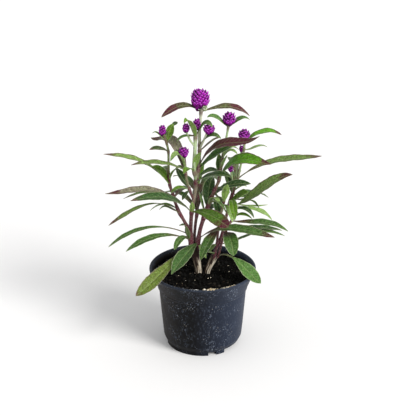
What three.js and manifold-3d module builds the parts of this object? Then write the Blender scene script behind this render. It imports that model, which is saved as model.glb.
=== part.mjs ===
// Potted globe amaranth: a thermoformed nursery pot of peat mix with leafy stems and globe flower heads.
// Millimetres, +Z up, +X to the right of the front view. The origin is the middle of the pot's base,
// on the surface that the pot stands on.
import * as THREE from "three";
import { mergeVertices } from "three/addons/utils/BufferGeometryUtils.js";
import Module from "manifold-3d";

const wasm = await Module();
wasm.setup();

// Pot
const rimRadius = 60;
const potHeight = 92;
const lipWidth = 3.6;
const lipHeight = 3.2;
const lipRound = 0.9;
const lipInnerDrop = 2.2;
const kinkRadius = 50.3;
const kinkHeight = 69;
const kinkInset = 0.65;
const kinkSoftness = 1.5;
const wallFootRadius = 44.6;
const wallFootHeight = 10;
const heelRadius = 42;
const footHeight = 4.4;
const baseDiscRadius = 34;
const baseDiscBevel = 2;
const wallThickness = 1.2;
const potSides = 32;
const footInset = 0.5;
const footWidth = 2.1;
const footSink = 0.6;
const footSides = 8;
const footSpans = [
  [-165, -81],
  [-68, -54],
  [0, 42],
  [54, 65],
  [110, 152],
  [172, 183],
];
const drainHoleRadius = 3.2;
const drainHoleDepth = 12;
const drainHoleSides = 16;

// Soil
const soilHeight = 84;
const soilRipple = 0.9;
const soilHeap = 0.022;
const soilRings = [51, 38, 25, 12, 0];
const soilEdgeDrop = 2.5;
const fitGap = 0.3;
const stemHoleFloor = 60;
const stemHoleRise = 8;
const stemHoleSides = 14;

// Leaves
const bladeThickness = 0.7;
const leafStep = 22;
const fewestLeafRings = 4;
const mostLeafRings = 8;
const petioleHalfWidth = 1.1;
const tipHalfWidth = 0.9;
const foldRise = 0.22;
const usualWidest = 0.55;
const usualPointed = 0.85;
const usualStalk = 0;

// Stems
const stemSides = 6;
const stemStep = 14;

const colours = {
  pot: 0x23262b,
  soil: 0x17140f,
  wood: 0xb0a48c,
  leafyStem: 0x5b7f36,
  head: 0x9b1fa0,
};

const up = new THREE.Vector3(0, 0, 1);

function vector([x, y, z]) {
  return new THREE.Vector3(x, y, z);
}

// A closed three.js geometry as a solid that can be joined and cut.
function solidOf(geometry) {
  const bare = geometry.clone();
  bare.deleteAttribute("normal");
  bare.deleteAttribute("uv");
  const merged = mergeVertices(bare, 1e-4);
  return new wasm.Manifold(
    new wasm.Mesh({
      numProp: 3,
      vertProperties: new Float32Array(merged.attributes.position.array),
      triVerts: new Uint32Array(merged.index.array),
    }),
  );
}

// The largest body of a solid: what a cut leaves loose is dropped.
function mainBody(solid) {
  const bodies = solid.decompose();
  return bodies.reduce((a, b) => (b.volume() > a.volume() ? b : a));
}

function geometryOf(solid) {
  const mesh = solid.getMesh();
  const geometry = new THREE.BufferGeometry();
  geometry.setAttribute("position", new THREE.BufferAttribute(mesh.vertProperties, 3));
  geometry.setIndex(new THREE.BufferAttribute(mesh.triVerts, 1));
  geometry.computeVertexNormals();
  return geometry;
}

function meshOf(name, solid, colour, roughness) {
  const material = new THREE.MeshStandardMaterial({ color: colour, roughness, metalness: 0 });
  const mesh = new THREE.Mesh(geometryOf(solid), material);
  mesh.name = name;
  return mesh;
}

// A body through rings of points. Every ring has the same count, and the first and last are capped.
function loft(rings) {
  const count = rings[0].length;
  const positions = rings.flat().flatMap((p) => [p.x, p.y, p.z]);
  const index = [];
  for (let i = 0; i < rings.length - 1; i++)
    for (let j = 0; j < count; j++) {
      const a = i * count + j;
      const b = i * count + ((j + 1) % count);
      index.push(a, b, b + count, a, b + count, a + count);
    }
  const last = (rings.length - 1) * count;
  for (let j = 1; j < count - 1; j++) {
    index.push(0, j + 1, j);
    index.push(last, last + j, last + j + 1);
  }
  const geometry = new THREE.BufferGeometry();
  geometry.setAttribute("position", new THREE.Float32BufferAttribute(positions, 3));
  geometry.setIndex(index);
  return geometry;
}

// A round stem through points, its radius running evenly between the radii given.
function stemTube(points, radii, grow = 0) {
  const curve = new THREE.CatmullRomCurve3(points.map(vector), false, "centripetal");
  const steps = Math.max(3, Math.round(curve.getLength() / stemStep));
  const side = new THREE.Vector3(1, 0, 0);
  const rings = [];
  for (let i = 0; i <= steps; i++) {
    const t = i / steps;
    const along = curve.getTangentAt(t);
    const across = side.clone().addScaledVector(along, -side.dot(along)).normalize();
    const third = new THREE.Vector3().crossVectors(along, across);
    const place = t * (radii.length - 1);
    const near = Math.min(Math.floor(place), radii.length - 2);
    const radius = THREE.MathUtils.lerp(radii[near], radii[near + 1], place - near) + grow;
    const ring = [];
    for (let j = 0; j < stemSides; j++) {
      const angle = (2 * Math.PI * j) / stemSides;
      ring.push(
        curve
          .getPointAt(t)
          .addScaledVector(across, radius * Math.cos(angle))
          .addScaledVector(third, radius * Math.sin(angle)),
      );
    }
    rings.push(ring);
  }
  return solidOf(loft(rings));
}

// The point of a stem's path at a height.
function pointAtHeight(path, height) {
  for (let i = 0; i < path.length - 1; i++)
    if (path[i][2] <= height && height <= path[i + 1][2]) {
      const share = (height - path[i][2]) / (path[i + 1][2] - path[i][2]);
      return vector(path[i]).lerp(vector(path[i + 1]), share);
    }
  return vector(height < path[0][2] ? path[0] : path[path.length - 1]);
}

// The rib of a leaf: straight from its stem to its tip, lifted by two heights at a third and two thirds.
function leafRib(base, tip, liftNear, liftFar) {
  const near = base.clone().lerp(tip, 1 / 3).addScaledVector(up, liftNear);
  const far = base.clone().lerp(tip, 2 / 3).addScaledVector(up, liftFar);
  return new THREE.CubicBezierCurve3(base, near, far, tip);
}

// One leaf: a thin blade folded a little along its rib, narrow at the stem and at the tip. The row's
// last four values turn the blade on towards its tip, and say how far along it is widest, how pointed it
// is and how much of its length is bare stalk.
function leafBlade(path, row) {
  const [height, tipX, tipY, tipZ, liftNear, liftFar, width, roll, ...shape] = row;
  const [twist = 0, widest = usualWidest, pointed = usualPointed, stalk = usualStalk] = shape;
  const bend = Math.log(0.5) / Math.log(widest);
  const base = pointAtHeight(path, height);
  const rib = leafRib(base, new THREE.Vector3(tipX, tipY, tipZ), liftNear, liftFar);
  const heading = new THREE.Vector3(tipX - base.x, tipY - base.y, 0).normalize();
  const level = new THREE.Vector3().crossVectors(up, heading);
  const wantedRings = 3 + Math.round(rib.getLength() / leafStep);
  const rings = THREE.MathUtils.clamp(wantedRings, fewestLeafRings, mostLeafRings);
  const positions = [];
  for (let i = 0; i < rings; i++) {
    const t = i / (rings - 1);
    const centre = rib.getPointAt(t);
    const along = rib.getTangentAt(t);
    const normal = new THREE.Vector3().crossVectors(along, level).normalize();
    const turn = THREE.MathUtils.degToRad(roll + twist * t);
    const side = level.clone().multiplyScalar(Math.cos(turn)).addScaledVector(normal, Math.sin(turn));
    const face = new THREE.Vector3().crossVectors(along, side).normalize();
    const grown = Math.max(0, (t - stalk) / (1 - stalk)) ** bend;
    const blade = (width / 2) * Math.sin(Math.PI * grown) ** pointed;
    const least = THREE.MathUtils.lerp(petioleHalfWidth, tipHalfWidth, t);
    const half = Math.max(least, blade || 0);
    for (const [across, rise] of [
      [1, half * foldRise],
      [0, 0],
      [-1, half * foldRise],
    ])
      for (const offset of [0.5, -0.5]) {
        const p = centre
          .clone()
          .addScaledVector(side, across * half)
          .addScaledVector(face, rise + offset * bladeThickness);
        positions.push(p.x, p.y, p.z);
      }
  }
  return solidOf(bladeGeometry(positions, rings));
}

// Six points a ring: over and under at the left edge, the rib and the right edge. Both faces of the
// blade are split into triangles along the same diagonals.
function bladeGeometry(positions, rings) {
  const index = [];
  const quad = (a, b, c, d) => index.push(a, b, c, a, c, d);
  for (let i = 0; i < rings - 1; i++) {
    const here = 6 * i;
    const next = here + 6;
    for (const [left, right] of [
      [0, 2],
      [2, 4],
    ]) {
      quad(here + right, next + right, next + left, here + left);
      index.push(here + right + 1, next + left + 1, next + right + 1);
      index.push(here + right + 1, here + left + 1, next + left + 1);
    }
    quad(here, next, next + 1, here + 1);
    quad(here + 5, next + 5, next + 4, here + 4);
  }
  const end = 6 * (rings - 1);
  quad(0, 1, 3, 2);
  quad(2, 3, 5, 4);
  quad(end, end + 2, end + 3, end + 1);
  quad(end + 2, end + 4, end + 5, end + 3);
  const geometry = new THREE.BufferGeometry();
  geometry.setAttribute("position", new THREE.Float32BufferAttribute(positions, 3));
  geometry.setIndex(index);
  return geometry;
}

// Pot: a thin shell with a flared collar, a rolled lip and a bevelled heel, standing on a flat base disc
// and six feet.
function makePot() {
  const lipFoot = potHeight - lipHeight;
  const shell = [
    [0, 0],
    [baseDiscRadius, 0],
    [baseDiscRadius + baseDiscBevel, footHeight],
    [heelRadius, footHeight],
    [wallFootRadius, wallFootHeight],
    [kinkRadius - kinkInset, kinkHeight - kinkSoftness],
    [kinkRadius + kinkInset, kinkHeight + kinkSoftness],
    [rimRadius - lipWidth / 2, lipFoot - lipRound / 2],
    [rimRadius - lipRound, lipFoot],
    [rimRadius, lipFoot + lipRound],
    [rimRadius, potHeight - lipRound],
    [rimRadius - lipRound, potHeight],
    [rimRadius - lipWidth + lipRound, potHeight - lipRound],
    [rimRadius - lipWidth, potHeight - lipInnerDrop],
    [kinkRadius + kinkInset - wallThickness, kinkHeight + kinkSoftness],
    [kinkRadius - kinkInset - wallThickness, kinkHeight - kinkSoftness],
    [wallFootRadius - wallThickness, wallFootHeight + wallThickness / 3],
    [heelRadius - wallThickness, footHeight + wallThickness],
    [baseDiscRadius + baseDiscBevel - wallThickness, footHeight + wallThickness],
    [baseDiscRadius - wallThickness, wallThickness],
    [0, wallThickness],
  ];
  const profile = shell.map(([r, z]) => new THREE.Vector2(r, z));
  let pot = solidOf(upright(new THREE.LatheGeometry(profile, potSides)));
  for (const [from, to] of footSpans) pot = pot.add(foot(from, to));
  for (let i = 0; i < footSpans.length; i++) {
    const gapStart = footSpans[i][1];
    const gapEnd = i + 1 < footSpans.length ? footSpans[i + 1][0] : footSpans[0][0] + 360;
    const angle = THREE.MathUtils.degToRad((gapStart + gapEnd) / 2);
    const radius = (baseDiscRadius + heelRadius) / 2;
    const drill = new THREE.CylinderGeometry(
      drainHoleRadius,
      drainHoleRadius,
      drainHoleDepth,
      drainHoleSides,
    );
    drill.rotateX(Math.PI / 2).translate(radius * Math.cos(angle), radius * Math.sin(angle), footHeight);
    pot = pot.subtract(solidOf(drill));
  }
  return pot;
}

// A three.js lathe turns about Y; this stands it on +Z with its faces pointing out.
function upright(geometry) {
  return geometry.rotateX(Math.PI / 2);
}

// One foot: a stretch of the ring below the heel, from one angle to another in degrees.
function foot(from, to) {
  const outer = heelRadius - footInset;
  const inner = outer - footWidth;
  const shape = new THREE.Shape();
  const start = THREE.MathUtils.degToRad(from);
  const end = THREE.MathUtils.degToRad(to);
  shape.absarc(0, 0, outer, start, end, false);
  shape.absarc(0, 0, inner, end, start, true);
  const settings = { depth: footHeight + footSink, bevelEnabled: false, curveSegments: footSides };
  return solidOf(new THREE.ExtrudeGeometry(shape, settings));
}

// The collar's inside radius at a height above the kink.
function collarInside(height) {
  const low = kinkHeight + kinkSoftness;
  const share = (height - low) / (potHeight - lipInnerDrop - low);
  return THREE.MathUtils.lerp(kinkRadius + kinkInset - wallThickness, rimRadius - lipWidth, share);
}

// Soil: fills the pot, with an uneven top and a plain hole for each woody base.
function makeSoil() {
  const edge = soilHeight - soilEdgeDrop;
  const profile = [
    [0, wallThickness + fitGap],
    [baseDiscRadius - baseDiscBevel, wallThickness + fitGap],
    [baseDiscRadius + baseDiscBevel - wallThickness - fitGap, footHeight + wallThickness + fitGap],
    [heelRadius - wallThickness - 2 * fitGap, footHeight + wallThickness + fitGap],
    [wallFootRadius - wallThickness - fitGap, wallFootHeight + wallThickness / 3],
    [kinkRadius - kinkInset - wallThickness - fitGap, kinkHeight - kinkSoftness],
    [collarInside(edge) - fitGap, edge],
    ...soilRings.map((radius) => [radius, soilHeight]),
  ].map(([r, z]) => new THREE.Vector2(r, z));
  const geometry = upright(new THREE.LatheGeometry(profile, potSides));
  const place = geometry.attributes.position;
  for (let i = 0; i < place.count; i++) {
    const x = place.getX(i);
    const y = place.getY(i);
    if (place.getZ(i) > soilHeight - 1) place.setZ(i, soilHeight + soilRise(x, y));
  }
  let soil = solidOf(geometry);
  for (const wood of woodyBases) {
    const [x, y] = wood.path[0];
    const depth = soilHeight - stemHoleFloor + stemHoleRise;
    const radius = wood.radii[0] + 2 * fitGap;
    const hole = new THREE.CylinderGeometry(radius, radius, depth, stemHoleSides);
    hole.rotateX(Math.PI / 2).translate(x, y, stemHoleFloor - fitGap + depth / 2);
    soil = soil.subtract(solidOf(hole));
  }
  return soil;
}

// The unevenness of the soil's top: a few crossing ripples and a low heap towards the left.
function soilRise(x, y) {
  const ripples = Math.sin(x * 0.31 + 1.3) * Math.cos(y * 0.27) + 0.6 * Math.sin((x - y) * 0.52);
  const edge = Math.min(1, Math.hypot(x, y) / 12);
  return soilRipple * ripples * edge - soilHeap * x;
}

// Woody bases: the thick old ends of the stems, standing straight down into the soil.
const woodyBases = [
  {
    name: "woody_base_left",
    path: [
      [-4.6, -1, 60],
      [-4.6, -1, 74],
      [-4.6, -1, 86],
      [-6, -1, 98],
      [-8.6, 0.2, 109],
      [-9.3, 0.8, 117],
    ],
    radii: [5, 4.9, 4.6, 4.5, 5.2],
  },
  {
    name: "woody_base_right",
    path: [
      [5.6, 1, 60],
      [5.6, 1, 74],
      [5.6, 1, 86],
      [9.5, 2.5, 95],
      [13.5, 4, 103],
    ],
    radii: [4.1, 4, 3.9, 3.9, 4.3],
  },
];

// Leafy stems. A leaf is a row: height on the stem, tip x, y, z, lift near, lift far, width and roll, and
// where it needs them twist, widest place, pointedness and stalk.
const leafyStems = [
  {
    name: "stem_tall",
    grownFrom: "woody_base_left",
    path: [
      [-12.2, -0.6, 112],
      [-13.2, -0.3, 126],
      [-13, 1, 141],
      [-12, 2, 157],
      [-10, 2, 171],
      [-8, 3, 182],
      [-7, 3, 195],
      [-4, 5, 210],
      [-3, 6, 228],
      [-3, 7, 248],
      [-2, 7, 262],
      [-1, 6, 279],
    ],
    radii: [2.3, 2, 1.9, 1.6, 1.5],
    twigs: [
      {
        path: [
          [-3, 6, 230],
          [1, 2, 240],
          [5, -1, 251],
        ],
        radii: [1.2, 1.1],
      },
    ],
    leaves: [
      [271, -43, -10, 271, 16, 11, 10, -22, 0, 0.62, 0.7],
      [272, 51, 16, 264, 7, 15, 11, 18, 0, 0.62, 0.8],
      [234, 20, -12, 248, 9, 11, 7, 30],
      [210, 60, -30, 257, 32, -6, 15, 26, 0, 0.5],
      [206, 37, -5, 240, 7, 4, 14, 20],
      [157, -77, -28, 183, 20, 10, 15, -16],
      [130, -102, -31, 130, 21, 23, 7, -12, 0, 0.68, 0.8, 0.12],
      [124, -83, -34, 126, 17, 15, 10, -14, 0, 0.68],
      [124, -31, -19, 121, 11, 13, 8, -16, 0, 0.62, 0.7],
      [157, -11, -6, 173, -2, -8, 6, 0],
      [127, -18, -5, 144, -2, -18, 8, 0],
      [157, 28, -38, 157, 10, 5, 16, 32, 0, 0.72, 0.42],
      [192, 32, -20, 207, 8, 8, 13, 10, 0, 0.5],
      [196, 19, 13, 201, 6, 8, 9, 10, 0, 0.65],
      [119, -72, -57, 84, 2, -4, 16, -8, -25, 0.7, 0.7],
      [228, 20, 2, 244, 0, 6, 6, 10],
    ],
  },
  {
    name: "stem_pale",
    grownFrom: "stem_tall",
    path: [
      [-7, 3, 195],
      [-9, -1, 209],
      [-8, -3, 231],
      [-7, 0, 252],
    ],
    radii: [1.9, 1.9, 1.7],
    twigs: [
      {
        path: [
          [-8, -3, 236],
          [-13, -3, 243],
          [-17, -2, 252],
        ],
        radii: [1.1, 1],
      },
    ],
    leaves: [
      [245, -19, -21, 268, 9, 16, 11, -15, 0, 0.5],
      [246, 11, -15, 261.5, 8, 17, 7, 40],
      [248, -27, -9, 244, 0, 6, 8, 0],
      [206, -1, -11, 232, 8, 8, 9, 0],
      [204, -20, -20, 211, 8, 8, 9, 0, 0, 0.62],
    ],
  },
  {
    name: "stem_dark",
    grownFrom: "woody_base_left",
    path: [
      [-9.4, 4.4, 112],
      [-9, 6, 127],
      [-8, 9, 139],
      [-6, 12.5, 153],
      [-5, 16, 169],
      [-4, 20, 184],
    ],
    radii: [1.6, 1.6, 1.3],
    leaves: [
      [150, -4, 72, 150, 20, 16, 13, 0],
      [153, -52, 48, 160, 22, 12, 12, 8],
      [169, 18, 74, 166, 18, 18, 12, -5],
      [170, -34, 62, 176, 16, 12, 11, 5],
      [183, -2, 52, 196, 12, 10, 10, 0],
    ],
  },
  {
    name: "stem_left",
    grownFrom: "stem_tall",
    path: [
      [-13, 0, 131],
      [-17, -1, 141],
      [-21, 0, 149],
      [-26, 3, 157],
      [-30, 6, 167],
      [-33, 8, 177],
      [-36, 9, 187],
      [-37, 10, 201],
      [-37, 10, 215],
      [-37, 8, 227],
      [-39, 6, 238],
      [-42, 6, 248],
    ],
    radii: [1.9, 1.6, 1.5, 1.2, 1.1],
    leaves: [
      [187, -106, -8, 229, 21, 9, 12, -8, 0, 0.6],
      [171, -105, -15, 186, 19, 2, 12, -10],
      [174, -89, 24, 164, 12, 7, 9, -5],
      [155, -101, -32, 156, 31, 14, 8, -4, 0, 0.7, 0.8, 0.15],
      [160, -59, 18, 152, 8, 10, 7, 0],
      [158, -48, 6, 158, -1, 11, 6, 0],
      [237, -31, 13, 256, 1, 6, 9, 42, 0, 0.6],
      [240, -54, 8, 247, 0, 8, 5, 0],
      [226, -57, 0, 231, 4, 3, 9, -12],
      [192, -20, -2, 210, 12, 8, 10, 10],
      [141, -26, -4, 144, 4, 0, 4, 0],
      [196, -50, 52, 188, 12, 8, 11, 0],
      [172, -10, 70, 158, 9, 8, 10, 0],
      [187, -55, 2, 211, 8, 6, 13, -34],
      [244, -27, 20, 256, 3, 3, 5, 20, 0, 0.75, 0.6, 0.4],
    ],
  },
  {
    name: "stem_mid",
    grownFrom: "stem_tall",
    path: [
      [-10, 2, 173],
      [-14, -2, 185],
      [-17, -4, 197],
      [-18, -4, 207],
      [-20, -3, 220],
      [-20, -3, 226],
    ],
    radii: [1.5, 1.3, 1.1],
    leaves: [
      [205, -57, 34, 233, 47, 6, 12, -4, -26, 0.5, 0.7],
      [209, -34, -14, 223, 21, 16, 10, -10],
      [209, -76, -20, 221, 8, 6, 13, -2],
      [187, -29, 12, 206, 0, 0, 11, 0],
      [186, -34, -11, 185, 4, 8, 8, 0],
      [184, -22, -9, 176, 4, 2, 6, 0],
    ],
  },
  {
    name: "stem_right",
    grownFrom: "woody_base_left",
    path: [
      [-6.6, -0.8, 112],
      [-3, 3, 134],
      [0, 4, 145],
      [4, 6, 157],
      [9, 7, 170],
      [14, 7, 183],
      [18, 6, 193],
      [20, 6, 207],
      [23, 8, 227],
      [26, 9, 242],
      [28.5, 9, 258],
    ],
    radii: [2.2, 2.1, 1.7, 1.2, 1.1],
    leaves: [
      [254, 5, 2, 267, 2, 10, 8, -25],
      [253, 51, 12, 261, 4, 10, 8, 12],
      [194, 73, -28, 225, 32, 7, 19, 25, 0, 0.45],
      [125, 78, -34, 143, 23, 7, 14, 14, 0, 0.62, 0.75],
      [121, -34, -37, 100, 5, 3, 18, -4, 0, 0.54, 1],
      [119, 4, -13, 108, 4, 0, 6, 0],
      [163, 26, -18, 164, 12, 14, 6, -20],
      [160, 12, 24, 190, 20, 10, 14, 0],
      [172, 30, 26, 170, 10, 10, 12, 0],
      [150, 22, 26, 148, 14, 12, 12, 0],
      [182, 21, 15, 148, -9, 28, 9, 0],
      [153, -4, 8, 179, -1, 2, 6, 0],
      [218, 38, -1, 226, 10, 9, 8, 0],
      [222, 40, 14, 226, 8, 8, 8, 0],
      [198, 18, 10, 224, -6, 2, 8, 0],
      [207, 27, 1, 225, -3, 2, 7, 0],
      [182, 53, 4, 190, 3, 4, 12, 22, 0, 0.55, 0.75, 0.1],
      [163, 20, -9, 169, 14, 12, 7, -10],
    ],
  },
  {
    name: "stem_far",
    grownFrom: "woody_base_right",
    path: [
      [12, 6.8, 101],
      [16.5, 8.5, 113],
      [21, 9.5, 125],
      [25, 12, 140],
      [29, 16, 158],
      [34, 18, 175],
      [39, 18, 191],
      [42, 16, 207],
      [45, 14, 223],
      [46, 12, 241],
    ],
    radii: [1.8, 1.6, 1.5, 1.2, 1.1],
    twigs: [
      {
        path: [
          [38, 18, 188],
          [38, 20, 204],
          [41, 21, 214],
          [43, 21, 221],
        ],
        radii: [1.2, 1],
      },
      {
        path: [
          [34, 18, 178],
          [33, 21, 188],
          [31.5, 19, 200],
        ],
        radii: [1.1, 0.9],
      },
    ],
    leaves: [
      [235, 86, 14, 243, 10, 11, 12, 6, 0, 0.55, 0.65],
      [227, 71, 17, 228, -4, 7, 9, -10],
      [190, 132, 27, 214, 19, 4, 14, 8, 0, 0.58, 0.75, 0.08],
      [158, 97, -12, 207, -10, 12, 18, 30, 0, 0.48, 0.75, 0.15],
      [116, 72, 0, 132, -7, 10, 8, 0],
      [157, 57, 0, 151, -2, 16, 8, 6],
      [162, 79, 31, 135, -2, 12, 11, 15, 0, 0.7, 0.7, 0.2],
      [164, 74, 38, 151, -6, -4, 6, 0],
      [170, 64, 34, 148, -6, 15, 9, -10],
      [166, 50, -2, 182, -1, 4, 13, 38],
      [164, 35, -30, 161, 12, 16, 9, 8, 0, 0.66],
      [172, 22, 8, 184, 10, 8, 9, 0],
      [174, 55, 30, 170, -7, -8, 8, 0],
      [176, 40, 78, 172, 18, 14, 12, 0],
      [190, 30, 68, 196, 16, 12, 11, 0],
      [158, 76, 62, 150, 18, 14, 12, 0],
      [176, 49, 14, 183, 2, 5, 6, 0],
      [174, 24, 27, 197, -2, 4, 11, 0],
    ],
  },
  {
    name: "stem_low",
    grownFrom: "woody_base_right",
    path: [
      [12.4, 1.2, 101],
      [15.5, -1, 117],
      [17, 1, 131],
      [18, 2, 144],
      [21, 2, 159],
      [24, 1, 172],
    ],
    radii: [1.5, 1.3, 1.2],
    leaves: [
      [165, 33, -17, 153, 11, 8, 6, 0],
      [170, 27, -10, 195, -6, 4, 9, 0],
      [168, 26, -13, 190, 14, 2, 6, 0],
      [137, -2, -26, 112, 4, 8, 14, 4, 0, 0.5, 0.75],
      [107, 6, -8, 113, 2, 0, 6, 0],
      [148, 12, 11, 172, 8, 6, 10, 0],
      [118, 8, -9, 115, 6, 0, 5, 0],
    ],
  },
  {
    name: "stem_low_outer",
    grownFrom: "woody_base_right",
    path: [
      [16.8, 4.2, 101],
      [22, 1.5, 122],
      [26, 0, 135],
      [32, 4, 146],
      [39, 10, 154],
    ],
    radii: [1.4, 1.2, 1.1],
    leaves: [
      [102, 64, -37, 89, 22, 2, 16, 20, 0, 0.6, 0.7, 0.33],
      [134, 34, -34, 121, 5, 16, 16, 14, 0, 0.6, 0.6],
      [146, 94, -14, 141, 0, 12, 12, 8],
      [140, 90, 22, 126, 0, 4, 9, 10, 0, 0.65],
      [140, 93, 18, 121, -2, 6, 8, 8, 0, 0.65],
      [148, 55, 2, 149, 8, 6, 8, 0],
    ],
  },
];

// Flower heads: middle, radius, height and rows of bracts, with the stem that each one stands on.
const heads = [
  { name: "head_01", on: "stem_tall", centre: [-2, 6, 287], radius: 10.2, height: 21, rows: 9 },
  { name: "head_02", on: "stem_right", centre: [29, 9, 264.2], radius: 7.2, height: 14, rows: 7 },
  { name: "head_03", on: "stem_far", centre: [45, 12, 245], radius: 6.6, height: 11, rows: 6 },
  { name: "head_04", on: "stem_pale", centre: [-5.8, 1.6, 259.5], radius: 4.7, height: 13, rows: 6 },
  { name: "head_05", on: "stem_pale", centre: [-17.4, -1, 256.4], radius: 4.4, height: 11, rows: 5 },
  { name: "head_06", on: "stem_tall", centre: [7.2, 0, 255.5], radius: 6.6, height: 10.5, rows: 6 },
  { name: "head_07", on: "stem_left", centre: [-43, 6, 251.5], radius: 4.3, height: 12, rows: 5 },
  { name: "head_08", on: "stem_mid", centre: [-20, -3, 230], radius: 5.8, height: 11, rows: 5 },
  { name: "head_09", on: "stem_far", centre: [43, 21, 225], radius: 3.2, height: 8, rows: 4 },
  { name: "head_10", on: "stem_far", centre: [31, 18, 203], radius: 3.2, height: 8, rows: 4 },
];

// A leafy stem: its main tube, its twigs and its leaves in one body.
function leafyStem({ path, radii, twigs = [], leaves }) {
  const pieces = [stemTube(path, radii)];
  for (const twig of twigs) pieces.push(stemTube(twig.path, twig.radii));
  for (const leaf of leaves) pieces.push(leafBlade(path, leaf));
  return wasm.Manifold.union(pieces);
}

// A flower head: a globe covered in staggered diamond scales, each drawn out to a point that leans up.
function flowerHead({ centre, radius, height, rows }) {
  const bractsAround = rows + 3;
  const coreShare = 0.84;
  const lean = 0.16;
  const globe = (polar, turn, reach) =>
    new THREE.Vector3(
      radius * reach * Math.sin(polar) * Math.cos(turn),
      radius * reach * Math.sin(polar) * Math.sin(turn),
      (height / 2) * reach * Math.cos(polar),
    );
  const polarOf = (row) => (Math.PI * (row + 1)) / (rows + 2);
  const corner = (row, step) => {
    if (row < 0) return globe(0, 0, coreShare);
    if (row > rows) return globe(Math.PI, 0, coreShare);
    return globe(polarOf(row), (Math.PI * (2 * step + (row % 2))) / bractsAround, coreShare);
  };
  const positions = [];
  for (let row = 0; row <= rows; row++)
    for (let step = 0; step < bractsAround; step++) {
      const shift = row % 2;
      const left = corner(row, step);
      const right = corner(row, step + 1);
      const above = corner(row - 1, step + shift);
      const below = corner(row + 1, step + shift);
      const turn = (Math.PI * (2 * step + 1 + shift)) / bractsAround;
      const point = globe(polarOf(row), turn, 1).addScaledVector(up, lean * radius);
      for (const [a, b] of [
        [left, below],
        [below, right],
        [right, above],
        [above, left],
      ])
        for (const p of [a, b, point]) positions.push(p.x, p.y, p.z);
    }
  const geometry = new THREE.BufferGeometry();
  geometry.setAttribute("position", new THREE.Float32BufferAttribute(positions, 3));
  return solidOf(geometry).translate(centre);
}

const plant = new THREE.Group();
plant.add(meshOf("pot", makePot(), colours.pot, 0.55));
plant.add(meshOf("soil", makeSoil(), colours.soil, 0.95));

// Solids grown by the fitting gap, for what stands on them to be cut by.
const seats = new Map();
for (const { name, path, radii } of woodyBases) {
  seats.set(name, stemTube(path, radii, fitGap));
  plant.add(meshOf(name, stemTube(path, radii), colours.wood, 0.85));
}
for (const stem of leafyStems) {
  const body = mainBody(leafyStem(stem).subtract(seats.get(stem.grownFrom)));
  const seat = [stemTube(stem.path, stem.radii, fitGap)];
  for (const twig of stem.twigs ?? []) seat.push(stemTube(twig.path, twig.radii, fitGap));
  seats.set(stem.name, wasm.Manifold.union(seat));
  plant.add(meshOf(stem.name, body, colours.leafyStem, 0.6));
}
for (const head of heads) {
  const body = mainBody(flowerHead(head).subtract(seats.get(head.on)));
  plant.add(meshOf(head.name, body, colours.head, 0.7));
}

export default plant;
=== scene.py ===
# Potted globe amaranth: a black nursery pot of potting mix, leafy stems and papery flower heads.
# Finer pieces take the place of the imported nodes. Lengths are millimetres until a mesh is made.
import math

import bpy
import numpy as np
from mathutils.kdtree import KDTree
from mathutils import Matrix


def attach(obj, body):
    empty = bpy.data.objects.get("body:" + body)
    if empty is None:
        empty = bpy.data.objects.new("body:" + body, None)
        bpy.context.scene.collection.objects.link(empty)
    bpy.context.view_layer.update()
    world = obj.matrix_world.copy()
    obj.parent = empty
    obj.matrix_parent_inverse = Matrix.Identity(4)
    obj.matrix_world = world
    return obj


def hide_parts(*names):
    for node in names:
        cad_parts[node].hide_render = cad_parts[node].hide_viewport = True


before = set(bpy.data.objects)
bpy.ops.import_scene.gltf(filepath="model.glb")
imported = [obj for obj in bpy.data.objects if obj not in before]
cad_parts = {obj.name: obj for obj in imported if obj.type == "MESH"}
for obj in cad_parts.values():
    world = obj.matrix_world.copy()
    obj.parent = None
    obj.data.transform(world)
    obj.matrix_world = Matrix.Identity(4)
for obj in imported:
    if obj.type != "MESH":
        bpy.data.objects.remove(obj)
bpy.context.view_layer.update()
print("frame loaded:", len(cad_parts), "nodes")

millimetre = 0.001
upward = np.array([0.0, 0.0, 1.0])
fullTurn = 2 * math.pi
goldenTurn = math.pi * (3 - math.sqrt(5))  # from one bract to the next, as scales grow
patternShift = 90  # leaves and bracts read their patterns up to this far apart, so that no two are alike


def linear(hexColour):  # sRGB hex to linear red, green, blue and full alpha
    channels = [int(hexColour[i : i + 2], 16) / 255 for i in (1, 3, 5)]
    return [c / 12.92 if c <= 0.04045 else ((c + 0.055) / 1.055) ** 2.4 for c in channels] + [1.0]


def inMetres(lengths):
    return [length * millimetre for length in lengths]


def feed(tree, socket, value):  # a link from an output or from a node's first output, or a constant
    if isinstance(value, bpy.types.Node):
        value = next(output for output in value.outputs if output.enabled)
    if isinstance(value, bpy.types.NodeSocket):
        tree.links.new(value, socket)
    else:
        socket.default_value = value


def addNode(tree, kind, inputs, **settings):  # a node with its settings, and its inputs by name or in order
    node = tree.nodes.new("ShaderNode" + kind)
    for name, value in settings.items():
        setattr(node, name, value)
    if isinstance(inputs, dict):
        for name, value in inputs.items():
            feed(tree, node.inputs[name], value)
    else:
        for socket, value in zip([s for s in node.inputs if s.enabled], inputs):
            feed(tree, socket, value)
    return node


def startMaterial(name):
    material = bpy.data.materials.new(name)
    material.use_nodes = True
    return material, material.node_tree


def finishMaterial(material, shaderInputs):  # gives the material's shader its constants and links
    tree = material.node_tree
    for name, value in shaderInputs.items():
        feed(tree, tree.nodes["Principled BSDF"].inputs[name], value)
    return material


# Camera and light

view = {
    "place": (6.1, -1113.4, 633.4),
    "tiltDown": 22.9,  # degrees below level
    "lens": 95.02,
    "sensor": 36,  # its width
}

camera = bpy.data.objects.new("camera", bpy.data.cameras.new("camera"))
camera.data.lens = view["lens"]
camera.data.sensor_width = view["sensor"]
camera.location = inMetres(view["place"])
camera.rotation_euler = (math.radians(90 - view["tiltDown"]), 0, 0)
bpy.context.scene.collection.objects.link(camera)
bpy.context.scene.camera = camera

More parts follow.
